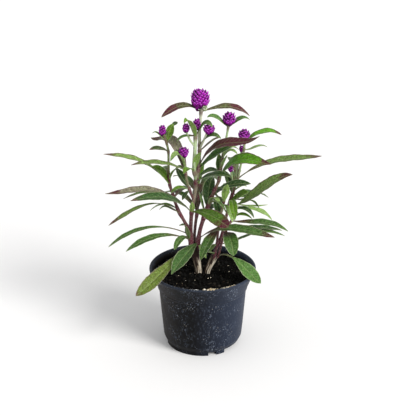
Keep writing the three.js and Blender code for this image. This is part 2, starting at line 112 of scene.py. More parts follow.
studio = {
    "keyFrom": (1.6, -1.3, 1.3),  # metres: a large window to the right of the camera
    "keySpread": 28,  # degrees that the window takes up, seen from the plant
    "keyStrength": 2.95,
    "keyColour": "#fffdfa",
    "skyColour": "#fdfdfe",
    "skyStrength": 0.7,
    "floorColour": "#f4f4f4",
    "floorHalf": 12,  # metres
}

key = bpy.data.objects.new("window_light", bpy.data.lights.new("window_light", "SUN"))
key.data.angle = math.radians(studio["keySpread"])
key.data.energy = studio["keyStrength"]
key.data.color = linear(studio["keyColour"])[:3]
key.location = studio["keyFrom"]
aim = -np.array(studio["keyFrom"])
key.rotation_euler = (math.atan2(math.hypot(aim[0], aim[1]), -aim[2]), 0, math.atan2(-aim[0], aim[1]))
bpy.context.scene.collection.objects.link(key)

world = bpy.data.worlds.new("soft_room")
world.use_nodes = True
world.node_tree.nodes["Background"].inputs["Color"].default_value = linear(studio["skyColour"])
world.node_tree.nodes["Background"].inputs["Strength"].default_value = studio["skyStrength"]
bpy.context.scene.world = world
bpy.context.scene.view_settings.view_transform = "Standard"
bpy.context.scene.view_settings.look = "None"

floorMesh = bpy.data.meshes.new("floor")
half = studio["floorHalf"]
floorCorners = [(-half, -half, 0), (half, -half, 0), (half, half, 0), (-half, half, 0)]
floorMesh.from_pydata(floorCorners, [], [(0, 1, 2, 3)])
floor = bpy.data.objects.new("floor", floorMesh)
bpy.context.scene.collection.objects.link(floor)
floorPaint = {"Roughness": 0.9, "Specular IOR Level": 0.1, "Base Color": linear(studio["floorColour"])}
floorMesh.materials.append(finishMaterial(startMaterial("mattPaintedBoard")[0], floorPaint))
print("camera, light and floor made")


# Shared shapes

def unit(vectors):
    return vectors / np.maximum(np.linalg.norm(vectors, axis=-1, keepdims=True), 1e-9)


def interpolated(where, knots, rows):  # every column of rows, read at where along the knots
    return np.stack([np.interp(where, knots, column) for column in np.array(rows, float).T], -1)


def gridOf(shape, *parts):  # a row of values for each point of a grid
    return np.stack([np.broadcast_to(part, shape) for part in parts], -1).reshape(-1, len(parts))


def body(points, faces, material=0, place=None, size=None, tone=None, blush=None):
    # a closed body: its points, faces and the values that its material reads at each point
    made = {"points": points, "faces": faces, "material": material}
    for name, values in (("place", place), ("size", size), ("tone", tone), ("blush", blush)):
        values = 0.0 if values is None else np.asarray(values, float)
        made[name] = np.broadcast_to(values, (len(points), 4 if name == "tone" else 3))
    return made


def outward(points, faces):  # the same faces, turned so that the body's inside is behind them
    quads = np.array([f for f in faces if len(f) == 4])
    corners = points[quads]
    first = np.cross(corners[:, 1] - corners[:, 0], corners[:, 2] - corners[:, 0])
    second = np.cross(corners[:, 2] - corners[:, 0], corners[:, 3] - corners[:, 0])
    middle = corners.mean(axis=1) - points.mean(axis=0)
    if ((first + second) * middle).sum() < 0:
        return [tuple(reversed(f)) for f in faces]
    return faces


def closedSheet(top, under):  # points and faces of a thin body between two grids, top and under
    rows, columns = top.shape[:2]
    count = rows * columns
    index = np.arange(count).reshape(rows, columns)
    upper = np.stack([index[:-1, :-1], index[:-1, 1:], index[1:, 1:], index[1:, :-1]], -1).reshape(-1, 4)
    rim = np.concatenate([index[0], index[1:, -1], index[-1, -2::-1], index[-2:0:-1, 0]])
    ahead = np.roll(rim, -1)
    sides = np.stack([ahead, rim, rim + count, ahead + count], -1)
    points = np.concatenate([top.reshape(-1, 3), under.reshape(-1, 3)])
    faces = np.concatenate([upper, upper[:, ::-1] + count, sides])
    corners = points[upper]
    facing = np.cross(corners[:, 1] - corners[:, 0], corners[:, 3] - corners[:, 0])
    above = (top - under).reshape(-1, 3)[upper[:, 0]]
    if (facing * above).sum() < 0:
        faces = faces[:, ::-1]
    return points, faces.tolist()


def tubeFaces(rings, around):  # faces of a closed tube of rings, with both ends capped
    index = np.arange(rings * around).reshape(rings, around)
    ahead = np.roll(index, -1, axis=1)
    sides = np.stack([index[:-1], ahead[:-1], ahead[1:], index[1:]], -1).reshape(-1, 4)
    return sides.tolist() + [index[0, ::-1].tolist(), index[-1].tolist()]


def tubeFrame(centre, sides):  # a tube's own direction, the angles of its sides and the way each one faces
    along = unit(np.gradient(centre, axis=0))
    across = unit(np.array([1.0, 0, 0]) - along * along[:, :1])
    third = np.cross(along, across)
    angle = np.linspace(0, fullTurn, sides, endpoint=False)
    facing = across[:, None] * np.cos(angle)[:, None] + third[:, None] * np.sin(angle)[:, None]
    return along, angle, facing


def evenly(line, steps):  # a line walked in equal steps, and its length
    gaps = np.linalg.norm(np.diff(line, axis=0), axis=1)
    covered = np.concatenate([[0], np.cumsum(gaps)])
    return interpolated(np.linspace(0, covered[-1], steps), covered, line), covered[-1]


def centripetal(points, steps):  # an even walk along a smooth curve through points, ends included
    points = np.array(points, float)
    padded = np.concatenate([[2 * points[0] - points[1]], points, [2 * points[-1] - points[-2]]])
    s = np.linspace(0, 1, 40)[:, None]  # fine enough for the even walk that follows
    walked = []
    for i in range(len(points) - 1):
        p = padded[i : i + 4]
        gaps = np.maximum(np.sqrt(np.linalg.norm(np.diff(p, axis=0), axis=1)), 1e-4)
        here = (p[1] - p[0]) / gaps[0] - (p[2] - p[0]) / (gaps[0] + gaps[1]) + (p[2] - p[1]) / gaps[1]
        there = (p[2] - p[1]) / gaps[1] - (p[3] - p[1]) / (gaps[1] + gaps[2]) + (p[3] - p[2]) / gaps[2]
        here, there = here * gaps[1], there * gaps[1]
        cubic = p[1] + here * s + (3 * (p[2] - p[1]) - 2 * here - there) * s**2
        walked.append(cubic + (2 * (p[1] - p[2]) + here + there) * s**3)
    return evenly(np.concatenate(walked), steps)


def lengthOf(points):
    return np.linalg.norm(np.diff(np.array(points, float), axis=0), axis=1).sum()


def spikes(roots, directions, lengths, width, sunk=0.1):  # one closed four-sided spike for each hair
    helper = np.where(np.abs(directions[:, 2:3]) > 0.8, [[1.0, 0, 0]], [[0, 0, 1.0]])
    across = unit(np.cross(directions, helper)) * width / 2
    third = unit(np.cross(directions, across)) * width / 2
    start = roots - directions * sunk
    corners = [start + across, start - across / 2 + third, start - across / 2 - third]
    points = np.stack(corners + [roots + directions * lengths[:, None]], 1).reshape(-1, 3)
    first = np.arange(len(roots))[:, None] * 4
    faces = np.concatenate([first + f for f in ([0, 2, 1], [0, 1, 3], [1, 2, 3], [2, 0, 3])])
    return points, faces.tolist()


def addPiece(name, bodies, materials, nodes, sharpAngle=50):
    # one object made of closed bodies, in place of the nodes that it names
    points = np.concatenate([b["points"] for b in bodies])
    faces, indices, start = [], [], 0
    for b in bodies:
        faces += [[corner + start for corner in face] for face in b["faces"]]
        indices += [b["material"]] * len(b["faces"])
        start += len(b["points"])
    mesh = bpy.data.meshes.new(name)
    mesh.from_pydata((points * millimetre).tolist(), [], faces)
    for layer in ("place", "size", "tone", "blush"):
        kind, field = ("FLOAT_COLOR", "color") if layer == "tone" else ("FLOAT_VECTOR", "vector")
        values = np.concatenate([b[layer] for b in bodies]).astype(np.float32)
        mesh.attributes.new(layer, kind, "POINT").data.foreach_set(field, values.ravel())
    for material in materials:
        mesh.materials.append(material)
    mesh.polygons.foreach_set("material_index", indices)
    mesh.shade_smooth()
    mesh.set_sharp_from_angle(angle=math.radians(sharpAngle))
    piece = bpy.data.objects.new(name, mesh)
    bpy.context.scene.collection.objects.link(piece)
    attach(piece, "root")
    if nodes:
        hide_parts(*nodes)
    print(name, "made,", sum(len(face) - 2 for face in faces), "triangles")


# Leaves

leafShape = {
    "usual": [0, 0.55, 0.85, 0],  # twist, widest place, pointedness and bare stalk where a row doesn't say
    "petioleHalf": 1.1,
    "tipHalf": 0.9,
    "tipRound": 1.5,  # length over which the tip closes
    "tipBlunt": 0.03,  # share of that closing that is left open
    "fold": 0.22,  # rise of the edges for each unit of half width
    "rowStep": 2.1,
    "rows": (14, 46),  # fewest and most
    "columns": [-1, -0.94, -0.76, -0.52, -0.27, -0.09, 0, 0.09, 0.27, 0.52, 0.76, 0.94, 1],
    "thickness": 0.34,
    "edgeThickness": 0.2,
    "petioleThickness": 1.0,
    "petioleFade": 7,  # length over which the thick stalk thins out
    "edgeUnevenness": 0.025,
    "edgeUnevennessTurn": 0.9,  # radians for each millimetre
    "veinSpacing": 5.5,
    "veinSlant": 1.1,  # how far a side vein runs forward for each unit outward
    "veinDepth": 0.22,
    "grooveDepth": 0.3,  # over the midrib
    "grooveHalf": 0.6,
    "ridgeHeight": 0.4,  # of the midrib, below
    "ridgeHalf": 0.7,
    "waveLength": 17,
    "waveDepth": 0.32,
    "fullWaveWidth": 12,  # narrower leaves wave less
    "hairLength": 0.9,
    "hairWidth": 0.11,
    "hairsPerEdge": 1.5,  # for each millimetre of edge
    "hairPlaces": (0.06, 0.96),  # along the leaf
    "hairForward": (0.2, 0.9),  # how much each hair points towards the tip
    "hairLift": (-0.5, 0.6),  # and down or up
    "hairVariation": (0.5, 1.1),
    "hairTone": "#d9dcc6",
    "greenVariation": (0.88, 1.12),
}

# each kind of leaf: its green, and how much wine red lies at the tip (as a share of the length), on the
# edge, in blotches and at the stalk
leafKinds = {
    "bright": ("#587f14", 0.0, 0.1, 0.0, 0.0),
    "brightTip": ("#55900a", 0.19, 0.8, 0.0, 0.1),
    "oliveTip": ("#6c8640", 0.17, 0.85, 0.0, 0.1),
    "grass": ("#38641a", 0.0, 0.1, 0.0, 0.0),
    "grassTip": ("#466818", 0.24, 0.85, 0.1, 0.0),
    "fresh": ("#4f7636", 0.0, 0.1, 0.0, 0.7),
    "mid": ("#3f6026", 0.0, 0.1, 0.0, 0.9),
    "midTip": ("#46682c", 0.15, 0.5, 0.0, 0.8),
    # the deepShade kinds: darker greens that paint the shade on leaves deep in the foliage
    "deepShade": ("#234015", 0.0, 0.1, 0.0, 0.0),
    "deepShadeTip": ("#344820", 0.2, 0.6, 0.1, 0.3),
    "blue": ("#3e5f2c", 0.0, 0.1, 0.0, 0.1),
    "blueTip": ("#38582a", 0.15, 0.35, 0.0, 0.3),
    "olive": ("#607a36", 0.15, 0.8, 0.1, 0.7),
    "bronze": ("#48502a", 0.46, 0.85, 0.35, 0.3),
    "wine": ("#4a241f", 0.5, 0.7, 0.6, 1.0),
    "lilac": ("#86836e", 0.26, 0.9, 0.35, 0.5),
    "pale": ("#7c9a54", 0.0, 0.1, 0.0, 0.0),
    "yellow": ("#62772b", 0.06, 0.6, 0.15, 0.3),
}

leafPaint = {
    "wine": "#501629",
    "vein": "#90a95c",
    "rib": "#a9b57c",
    "underside": "#8c9a68",
    "down": "#dfe6cf",
    # painted highlight where the down along the edge catches the light
    "marginHighlight": "#cfdcae",
    "blotchSize": 6.25,
    "patchSize": 2,  # of light and dark within the green
    "grainSize": 1.33,
    "downSize": 1,  # coarser than the hairs are, so that it shows
    "veinHalf": 0.7,
    "ribFade": (0.25, 0.75),  # from the middle outward
    "veinShare": 0.16,  # how much of its own colour each of these shows
    "ribShare": 0.24,
    "undersideShare": 0.35,
    "reliefDepth": 0.7,
}


def livingLeaf():
    # Living leaf with short down: satin green, sunken pale veins, and a wine blush at its tip and edge.
    material, tree = startMaterial("livingLeafDowny")
    names = ("place", "size", "tone", "blush")
    place, size, tone, blush = (addNode(tree, "Attribute", {}, attribute_name=name) for name in names)
    acrossShare, alongShare, underside = addNode(tree, "SeparateXYZ", [place]).outputs
    acrossSize, alongSize, _ = addNode(tree, "SeparateXYZ", [size]).outputs
    tipBlush, edgeBlush, blotchBlush = addNode(tree, "SeparateXYZ", [blush]).outputs
    edgeward = addNode(tree, "Math", [acrossShare], operation="ABSOLUTE")
    fromRib = addNode(tree, "Math", [acrossSize], operation="ABSOLUTE")
    patterns = {}
    finenesses = {"blotch": (3, 0.5), "grain": (5, 0.65), "patch": (5, 0.65), "down": (2, 0.5)}
    for name, (detail, roughness) in finenesses.items():
        scale = 1 / leafPaint[name + "Size"]
        noise = {"Vector": size, "Scale": scale, "Detail": detail, "Roughness": roughness}
        patterns[name] = addNode(tree, "TexNoise", noise)

    # side veins slant forward from the midrib
    slanted = addNode(tree, "Math", [fromRib, -leafShape["veinSlant"], alongSize], operation="MULTIPLY_ADD")
    toVein = addNode(tree, "Math", [slanted, leafShape["veinSpacing"] / 2], operation="PINGPONG")
    vein = addNode(tree, "MapRange", [toVein, 0, leafPaint["veinHalf"], 1, 0])
    midrib = addNode(tree, "MapRange", [fromRib, *leafPaint["ribFade"], 1, 0])

    # the wine blush: at the tip, along the edge, in blotches and at the stalk
    tipNoise = addNode(tree, "Math", [patterns["blotch"], 0.3, alongShare], operation="MULTIPLY_ADD")
    tipReach = addNode(tree, "Math", [tipNoise, tipBlush], operation="ADD")
    tip = addNode(tree, "MapRange", [tipReach, 1.12, 1.24])
    anyTip = addNode(tree, "Math", [tipBlush, 20], operation="MULTIPLY", use_clamp=True)
    edgeNoise = addNode(tree, "Math", [patterns["grain"], 0.16, edgeward], operation="MULTIPLY_ADD")
    edge = addNode(tree, "MapRange", [edgeNoise, 0.88, 0.98])
    blotch = addNode(tree, "MapRange", [patterns["blotch"], 0.36, 0.62])
    stalk = addNode(tree, "MapRange", [alongShare, 0.2, 0.42, 1, 0])
    reddened = addNode(tree, "Math", [tip, anyTip], operation="MULTIPLY")
    for where, amount in ((edge, edgeBlush), (blotch, blotchBlush), (stalk, tone.outputs["Alpha"])):
        share = addNode(tree, "Math", [where, amount], operation="MULTIPLY")
        reddened = addNode(tree, "Math", [reddened, share], operation="MAXIMUM")

    # over the mottled green lie the blush, veins, underside, down and a painted highlight on the margin where
    # its down shines
    shade = addNode(tree, "MapRange", [patterns["patch"], 0.34, 0.66, 0.5, 1.55])
    colour = addNode(tree, "VectorMath", [tone, shade], operation="SCALE")
    marginHighlight = addNode(tree, "MapRange", [edgeNoise, 0.97, 1.04, 0, 0.45])
    greenEdge = addNode(tree, "Math", [reddened, -0.9, 1], operation="MULTIPLY_ADD")
    layers = [(reddened, "wine")]
    for where, name in ((vein, "vein"), (midrib, "rib"), (underside, "underside")):
        layers.append((addNode(tree, "Math", [where, leafPaint[name + "Share"]], operation="MULTIPLY"), name))
    layers.append((addNode(tree, "MapRange", [patterns["down"], 0.58, 0.68, 0, 0.16]), "down"))
    layers.append((addNode(tree, "Math", [marginHighlight, greenEdge], operation="MULTIPLY"), "marginHighlight"))
    for share, name in layers:
        colour = addNode(tree, "Mix", [share, colour, linear(leafPaint[name])], data_type="RGBA")
    relief = addNode(tree, "Math", [vein, -0.5, patterns["grain"]], operation="MULTIPLY_ADD")
    raised = {"Strength": 0.8, "Distance": leafPaint["reliefDepth"] * millimetre, "Height": relief}
    return finishMaterial(
        material,
        {
            "Base Color": colour,
            "Normal": addNode(tree, "Bump", raised),
            "Roughness": 0.43,
            "IOR": 1.42,
            "Specular IOR Level": 0.28,
            "Subsurface Weight": 0.08,
            "Subsurface Radius": (0.5, 1.0, 0.2),
            "Subsurface Scale": 1.2 * millimetre,
        },
    )


# Stems

stemShape = {
    "sides": 16,
    "ringStep": 1.7,
    "swelling": 0.32,  # growth of the radius where leaves stand
    "swellingReach": 3.0,
    "swellingWine": 0.75,
    "ridges": 6,
    "ridgeDepth": 0.05,
    "patternRadius": 2.0,
    "hairLength": 0.95,
    "hairWidth": 0.09,
    "hairsPerLength": 4.5,
    "hairSlide": (-0.8, 0.8),  # of a hair's root along the stem
    "hairForward": (-0.1, 0.8),  # how much each hair points up the stem
    "hairStray": 0.2,
    "hairVariation": (0.5, 1.1),
    "hairTone": "#d3cfc0",
    "twigWine": [0.1, 0.1],
}

stemPaint = {
    "wine": "#56122a",
    "down": "#dcdccb",
    "streakSize": 1.11,  # across the stem
    "streakStretch": 0.12,  # streaks are this much as dense along the stem as across it
    "downSize": 0.556,
    "reliefDepth": 0.2,
    "hairPatchSize": 5.56,  # over which hairs turn lighter and darker
}


def livingStem():
    # Living green stem with dense down: matt, streaked along its length, wine red where it swells.
    material, tree = startMaterial("livingStemDowny")
    names = ("size", "tone", "blush")
    size, tone, blush = (addNode(tree, "Attribute", {}, attribute_name=name) for name in names)
    streakWine, swellingWine, _ = addNode(tree, "SeparateXYZ", [blush]).outputs
    stretched = addNode(tree, "VectorMath", [size, (1, stemPaint["streakStretch"], 1)], operation="MULTIPLY")
    noise = {"Vector": stretched, "Scale": 1 / stemPaint["streakSize"], "Detail": 4}
    streaks = addNode(tree, "TexNoise", noise)
    streak = addNode(tree, "MapRange", [streaks, 0.38, 0.6])
    wine = addNode(tree, "Math", [streak, streakWine, swellingWine], operation="MULTIPLY_ADD", use_clamp=True)
    down = addNode(tree, "TexNoise", {"Vector": size, "Scale": 1 / stemPaint["downSize"], "Detail": 3})
    colour = tone
    for share, name in ((wine, "wine"), (addNode(tree, "MapRange", [down, 0.54, 0.68, 0, 0.4]), "down")):
        colour = addNode(tree, "Mix", [share, colour, linear(stemPaint[name])], data_type="RGBA")
    raised = {"Strength": 0.4, "Distance": stemPaint["reliefDepth"] * millimetre, "Height": streaks}
    return finishMaterial(
        material,
        {
            "Base Color": colour,
            "Normal": addNode(tree, "Bump", raised),
            "Roughness": 0.6,
            "IOR": 1.42,
            "Specular IOR Level": 0.25,
            "Subsurface Weight": 0.1,
            "Subsurface Radius": (0.8, 1.0, 0.4),
            "Subsurface Scale": 1.0 * millimetre,
            "Sheen Weight": 0.06,
            "Sheen Roughness": 0.5,
            "Sheen Tint": linear("#f0ecdf"),
        },
    )


def plantDown():
    # Soft plant hairs: pale and translucent, a little lighter or darker from place to place.
    material, tree = startMaterial("plantDown")
    tone = addNode(tree, "Attribute", {}, attribute_name="tone")
    where = addNode(tree, "TexCoord", {}).outputs["Object"]
    scale = 1 / (stemPaint["hairPatchSize"] * millimetre)
    noise = addNode(tree, "TexNoise", {"Vector": where, "Scale": scale, "Detail": 1})
    light = addNode(tree, "MapRange", [noise, 0.3, 0.7, 0.8, 1.1])
    colour = addNode(tree, "VectorMath", [tone, light], operation="SCALE")
    return finishMaterial(
        material,
        {
            "Base Color": colour,
            "Roughness": 0.45,
            "IOR": 1.5,
            "Subsurface Weight": 0.2,
            "Subsurface Scale": 0.5 * millimetre,
        },
    )


leafSurface = livingLeaf()
stemSurface = livingStem()
downSurface = plantDown()
print("leaf and stem materials made")

# Each leafy stem: its path from the ground up, with radii, tones and shares of wine red spread evenly
# along it, twigs as paths with radii, and leaves. A leaf's row has its kind, the height where it leaves the
# stem, its tip, how far its rib is pulled up a third and two thirds of the way along, its width and its
# roll in degrees; up to four more values say its twist, widest place, pointedness and bare stalk.
leafyStems = {
    "stem_tall": {
        "path": [
            (-12.2, -0.6, 112), (-13.2, -0.3, 126), (-13, 1, 141), (-12, 2, 157), (-10, 2, 171), (-8, 3, 182),
            (-7, 3, 195), (-4, 5, 210), (-3, 6, 228), (-3, 7, 248), (-2, 7, 262), (-1, 6, 279),
        ],
        "radii": [2.3, 2, 1.9, 1.6, 1.5],
        "tones": ["#4f242c", "#5e3436", "#7c7560", "#7c7c60", "#b4bc9c", "#d4dac4"],
        "wine": [0.95, 0.8, 0.45, 0.3, 0.0, 0.0],
        "twigs": [([(-3, 6, 230), (1, 2, 240), (5, -1, 251)], [1.2, 1.1])],
        "leaves": [
            ("bronze", 271, -43, -10, 271, 16, 11, 10, -22, 0, 0.62, 0.7),
            ("bronze", 272, 51, 16, 264, 7, 15, 11, 18, 0, 0.62, 0.8),
            ("mid", 234, 20, -12, 248, 9, 11, 7, 30),
            ("wine", 210, 60, -30, 257, 32, -6, 15, 26, 0, 0.5),
            ("grass", 206, 37, -5, 240, 7, 4, 14, 20),
            ("blueTip", 157, -77, -28, 183, 20, 10, 15, -16),
            ("mid", 130, -102, -31, 130, 21, 23, 7, -12, 0, 0.68, 0.8, 0.12),
            ("mid", 124, -83, -34, 126, 17, 15, 10, -14, 0, 0.68),
            ("mid", 124, -31, -19, 121, 11, 13, 8, -16, 0, 0.62, 0.7),
            ("bright", 157, -11, -6, 173, -2, -8, 6, 0),
            ("deepShade", 127, -18, -5, 144, -2, -18, 8, 0),
            ("grassTip", 157, 28, -38, 157, 10, 5, 16, 32, 0, 0.72, 0.42),
            ("deepShade", 192, 32, -20, 207, 8, 8, 13, 10, 0, 0.5),
            ("deepShade", 196, 19, 13, 201, 6, 8, 9, 10, 0, 0.65),
            ("yellow", 119, -72, -57, 84, 2, -4, 16, -8, -25, 0.7, 0.7),
            ("lilac", 228, 20, 2, 244, 0, 6, 6, 10),
        ],
    },
    "stem_pale": {
        "path": [(-7, 3, 195), (-9, -1, 209), (-8, -3, 231), (-7, 0, 252)],
        "radii": [1.9, 1.9, 1.7],
        "tones": ["#8fa578", "#a3b78c", "#a9bd92"],
        "wine": [0.1, 0.0, 0.0],
        "twigs": [([(-8, -3, 236), (-13, -3, 243), (-17, -2, 252)], [1.1, 1])],
        "leaves": [
            ("bright", 245, -19, -21, 268, 9, 16, 11, -15, 0, 0.5),
            ("mid", 246, 11, -15, 261.5, 8, 17, 7, 40),
            ("mid", 248, -27, -9, 244, 0, 6, 8, 0),
            ("bright", 206, -1, -11, 232, 8, 8, 9, 0),
            ("bright", 204, -20, -20, 211, 8, 8, 9, 0, 0, 0.62),
        ],
    },
    "stem_dark": {
        "path": [(-9.4, 4.4, 112), (-9, 6, 127), (-8, 9, 139), (-6, 12.5, 153), (-5, 16, 169), (-4, 20, 184)],
        "radii": [1.6, 1.6, 1.3],
        "tones": ["#38191e", "#3c2a24", "#4c5434"],
        "wine": [0.9, 0.6, 0.3],
        "twigs": [],
        "leaves": [
            ("mid", 150, -4, 72, 150, 20, 16, 13, 0),
            ("midTip", 153, -52, 48, 160, 22, 12, 12, 8),
            ("mid", 169, 18, 74, 166, 18, 18, 12, -5),
            ("midTip", 170, -34, 62, 176, 16, 12, 11, 5),
            ("bright", 183, -2, 52, 196, 12, 10, 10, 0),
        ],
    },
    "stem_left": {
        "path": [
            (-13, 0, 131), (-17, -1, 141), (-21, 0, 149), (-26, 3, 157), (-30, 6, 167), (-33, 8, 177),
            (-36, 9, 187), (-37, 10, 201), (-37, 10, 215), (-37, 8, 227), (-39, 6, 238), (-42, 6, 248),
        ],
        "radii": [1.9, 1.6, 1.5, 1.2, 1.1],
        "tones": ["#4a1f2a", "#5c3034", "#6a4e40", "#7d8f5c", "#8ba36c"],
        "wine": [1.0, 0.8, 0.6, 0.15, 0.1],
        "twigs": [],
        "leaves": [
            ("oliveTip", 187, -106, -8, 229, 21, 9, 12, -8, 0, 0.6),
            ("lilac", 171, -105, -15, 186, 19, 2, 12, -10),
            ("olive", 174, -89, 24, 164, 12, 7, 9, -5),
            ("olive", 155, -101, -32, 156, 31, 14, 8, -4, 0, 0.7, 0.8, 0.15),
            ("bright", 160, -59, 18, 152, 8, 10, 7, 0),
            ("mid", 158, -48, 6, 158, -1, 11, 6, 0),
            ("bright", 237, -31, 13, 256, 1, 6, 9, 42, 0, 0.6),
            ("bright", 240, -54, 8, 247, 0, 8, 5, 0),
            ("deepShadeTip", 226, -57, 0, 231, 4, 3, 9, -12),
            ("bright", 192, -20, -2, 210, 12, 8, 10, 10),
            ("deepShade", 141, -26, -4, 144, 4, 0, 4, 0),
            ("midTip", 196, -50, 52, 188, 12, 8, 11, 0),
            ("mid", 172, -10, 70, 158, 9, 8, 10, 0),
            ("bright", 187, -55, 2, 211, 8, 6, 13, -34),
            ("deepShade", 244, -27, 20, 256, 3, 3, 5, 20, 0, 0.75, 0.6, 0.4),
        ],
    },
    "stem_mid": {
        "path": [
            (-10, 2, 173), (-14, -2, 185), (-17, -4, 197), (-18, -4, 207), (-20, -3, 220), (-20, -3, 226),
        ],
        "radii": [1.5, 1.3, 1.1],
        "tones": ["#4a1f2a", "#67704a", "#7d9460"],
        "wine": [0.9, 0.3, 0.1],
        "twigs": [],
        "leaves": [
            ("lilac", 205, -57, 34, 233, 47, 6, 12, -4, -26, 0.5, 0.7),
            ("pale", 209, -34, -14, 223, 21, 16, 10, -10),
            ("oliveTip", 209, -76, -20, 221, 8, 6, 13, -2),
            ("deepShade", 187, -29, 12, 206, 0, 0, 11, 0),
            ("bright", 186, -34, -11, 185, 4, 8, 8, 0),
            ("deepShade", 184, -22, -9, 176, 4, 2, 6, 0),
        ],
    },
    "stem_right": {
        "path": [
            (-6.6, -0.8, 112), (-3, 3, 134), (0, 4, 145), (4, 6, 157), (9, 7, 170), (14, 7, 183),
            (18, 6, 193), (20, 6, 207), (23, 8, 227), (26, 9, 242), (28.5, 9, 258),
        ],
        "radii": [2.2, 2.1, 1.7, 1.2, 1.1],
        "tones": ["#451a26", "#56282e", "#6e5a48", "#93ab78", "#a4c08c"],
        "wine": [1.0, 0.85, 0.5, 0.05, 0.0],
        "twigs": [],
        "leaves": [
            ("fresh", 254, 5, 2, 267, 2, 10, 8, -25),
            ("fresh", 253, 51, 12, 261, 4, 10, 8, 12),
            ("brightTip", 194, 73, -28, 225, 32, 7, 19, 25, 0, 0.45),
            ("midTip", 125, 78, -34, 143, 23, 7, 14, 14, 0, 0.62, 0.75),
            ("blue", 121, -34, -37, 100, 5, 3, 18, -4, 0, 0.54, 1),
            ("pale", 119, 4, -13, 108, 4, 0, 6, 0),
            ("mid", 163, 26, -18, 164, 12, 14, 6, -20),
            ("deepShade", 160, 12, 24, 190, 20, 10, 14, 0),
            ("deepShade", 172, 30, 26, 170, 10, 10, 12, 0),
            ("deepShade", 150, 22, 26, 148, 14, 12, 12, 0),
            ("deepShade", 182, 21, 15, 148, -9, 28, 9, 0),
            ("mid", 153, -4, 8, 179, -1, 2, 6, 0),
            ("pale", 218, 38, -1, 226, 10, 9, 8, 0),
            ("pale", 222, 40, 14, 226, 8, 8, 8, 0),
            ("mid", 198, 18, 10, 224, -6, 2, 8, 0),
            ("mid", 207, 27, 1, 225, -3, 2, 7, 0),
            ("deepShade", 182, 53, 4, 190, 3, 4, 12, 22, 0, 0.55, 0.75, 0.1),
            ("pale", 163, 20, -9, 169, 14, 12, 7, -10),
        ],
    },
    "stem_far": {
        "path": [
            (12, 6.8, 101), (16.5, 8.5, 113), (21, 9.5, 125), (25, 12, 140), (29, 16, 158), (34, 18, 175),
            (39, 18, 191), (42, 16, 207), (45, 14, 223), (46, 12, 241),
        ],
        "radii": [1.8, 1.6, 1.5, 1.2, 1.1],
        "tones": ["#4c1e2c", "#5a2c34", "#6e5e4a", "#8ba070", "#9cb482"],
        "wine": [0.95, 0.8, 0.5, 0.15, 0.05],
        "twigs": [
            ([(38, 18, 188), (38, 20, 204), (41, 21, 214), (43, 21, 221)], [1.2, 1]),
            ([(34, 18, 178), (33, 21, 188), (31.5, 19, 200)], [1.1, 0.9]),
        ],
        "leaves": [
            ("brightTip", 235, 86, 14, 243, 10, 11, 12, 6, 0, 0.55, 0.65),
            ("pale", 227, 71, 17, 228, -4, 7, 9, -10),
            ("olive", 190, 132, 27, 214, 19, 4, 14, 8, 0, 0.58, 0.75, 0.08),
            ("oliveTip", 158, 97, -12, 207, -10, 12, 18, 30, 0, 0.48, 0.75, 0.15),
            ("mid", 116, 72, 0, 132, -7, 10, 8, 0),
            ("deepShade", 157, 57, 0, 151, -2, 16, 8, 6),
            ("pale", 162, 79, 31, 135, -2, 12, 11, 15, 0, 0.7, 0.7, 0.2),
            ("pale", 164, 74, 38, 151, -6, -4, 6, 0),
            ("mid", 170, 64, 34, 148, -6, 15, 9, -10),
            ("bright", 166, 50, -2, 182, -1, 4, 13, 38),
            ("bright", 164, 35, -30, 161, 12, 16, 9, 8, 0, 0.66),
            ("mid", 172, 22, 8, 184, 10, 8, 9, 0),
            ("mid", 174, 55, 30, 170, -7, -8, 8, 0),
            ("mid", 176, 40, 78, 172, 18, 14, 12, 0),
            ("midTip", 190, 30, 68, 196, 16, 12, 11, 0),
            ("mid", 158, 76, 62, 150, 18, 14, 12, 0),
            ("pale", 176, 49, 14, 183, 2, 5, 6, 0),
            ("deepShade", 174, 24, 27, 197, -2, 4, 11, 0),
        ],
    },
    "stem_low": {
        "path": [(12.4, 1.2, 101), (15.5, -1, 117), (17, 1, 131), (18, 2, 144), (21, 2, 159), (24, 1, 172)],
        "radii": [1.5, 1.3, 1.2],
        "tones": ["#4c1e2c", "#6e4448", "#7c8a58"],
        "wine": [0.95, 0.6, 0.2],
        "twigs": [],
        "leaves": [
            ("pale", 165, 33, -17, 153, 11, 8, 6, 0),
            ("bright", 170, 27, -10, 195, -6, 4, 9, 0),
            ("bright", 168, 26, -13, 190, 14, 2, 6, 0),
            ("mid", 137, -2, -26, 112, 4, 8, 14, 4, 0, 0.5, 0.75),
            ("pale", 107, 6, -8, 113, 2, 0, 6, 0),
            ("deepShade", 148, 12, 11, 172, 8, 6, 10, 0),
            ("pale", 118, 8, -9, 115, 6, 0, 5, 0),
        ],
    },
    "stem_low_outer": {
        "path": [(16.8, 4.2, 101), (22, 1.5, 122), (26, 0, 135), (32, 4, 146), (39, 10, 154)],
        "radii": [1.4, 1.2, 1.1],
        "tones": ["#4c1e2c", "#6a4044", "#7a8854"],
        "wine": [0.95, 0.6, 0.2],
        "twigs": [],
        "leaves": [
            ("fresh", 102, 64, -37, 89, 22, 2, 16, 20, 0, 0.6, 0.7, 0.33),
            ("mid", 134, 34, -34, 121, 5, 16, 16, 14, 0, 0.6, 0.6),
            ("mid", 146, 94, -14, 141, 0, 12, 12, 8),
            ("deepShade", 140, 90, 22, 126, 0, 4, 9, 10, 0, 0.65),
            ("mid", 140, 93, 18, 121, -2, 6, 8, 8, 0, 0.65),
            ("bright", 148, 55, 2, 149, 8, 6, 8, 0),
        ],
    },
}


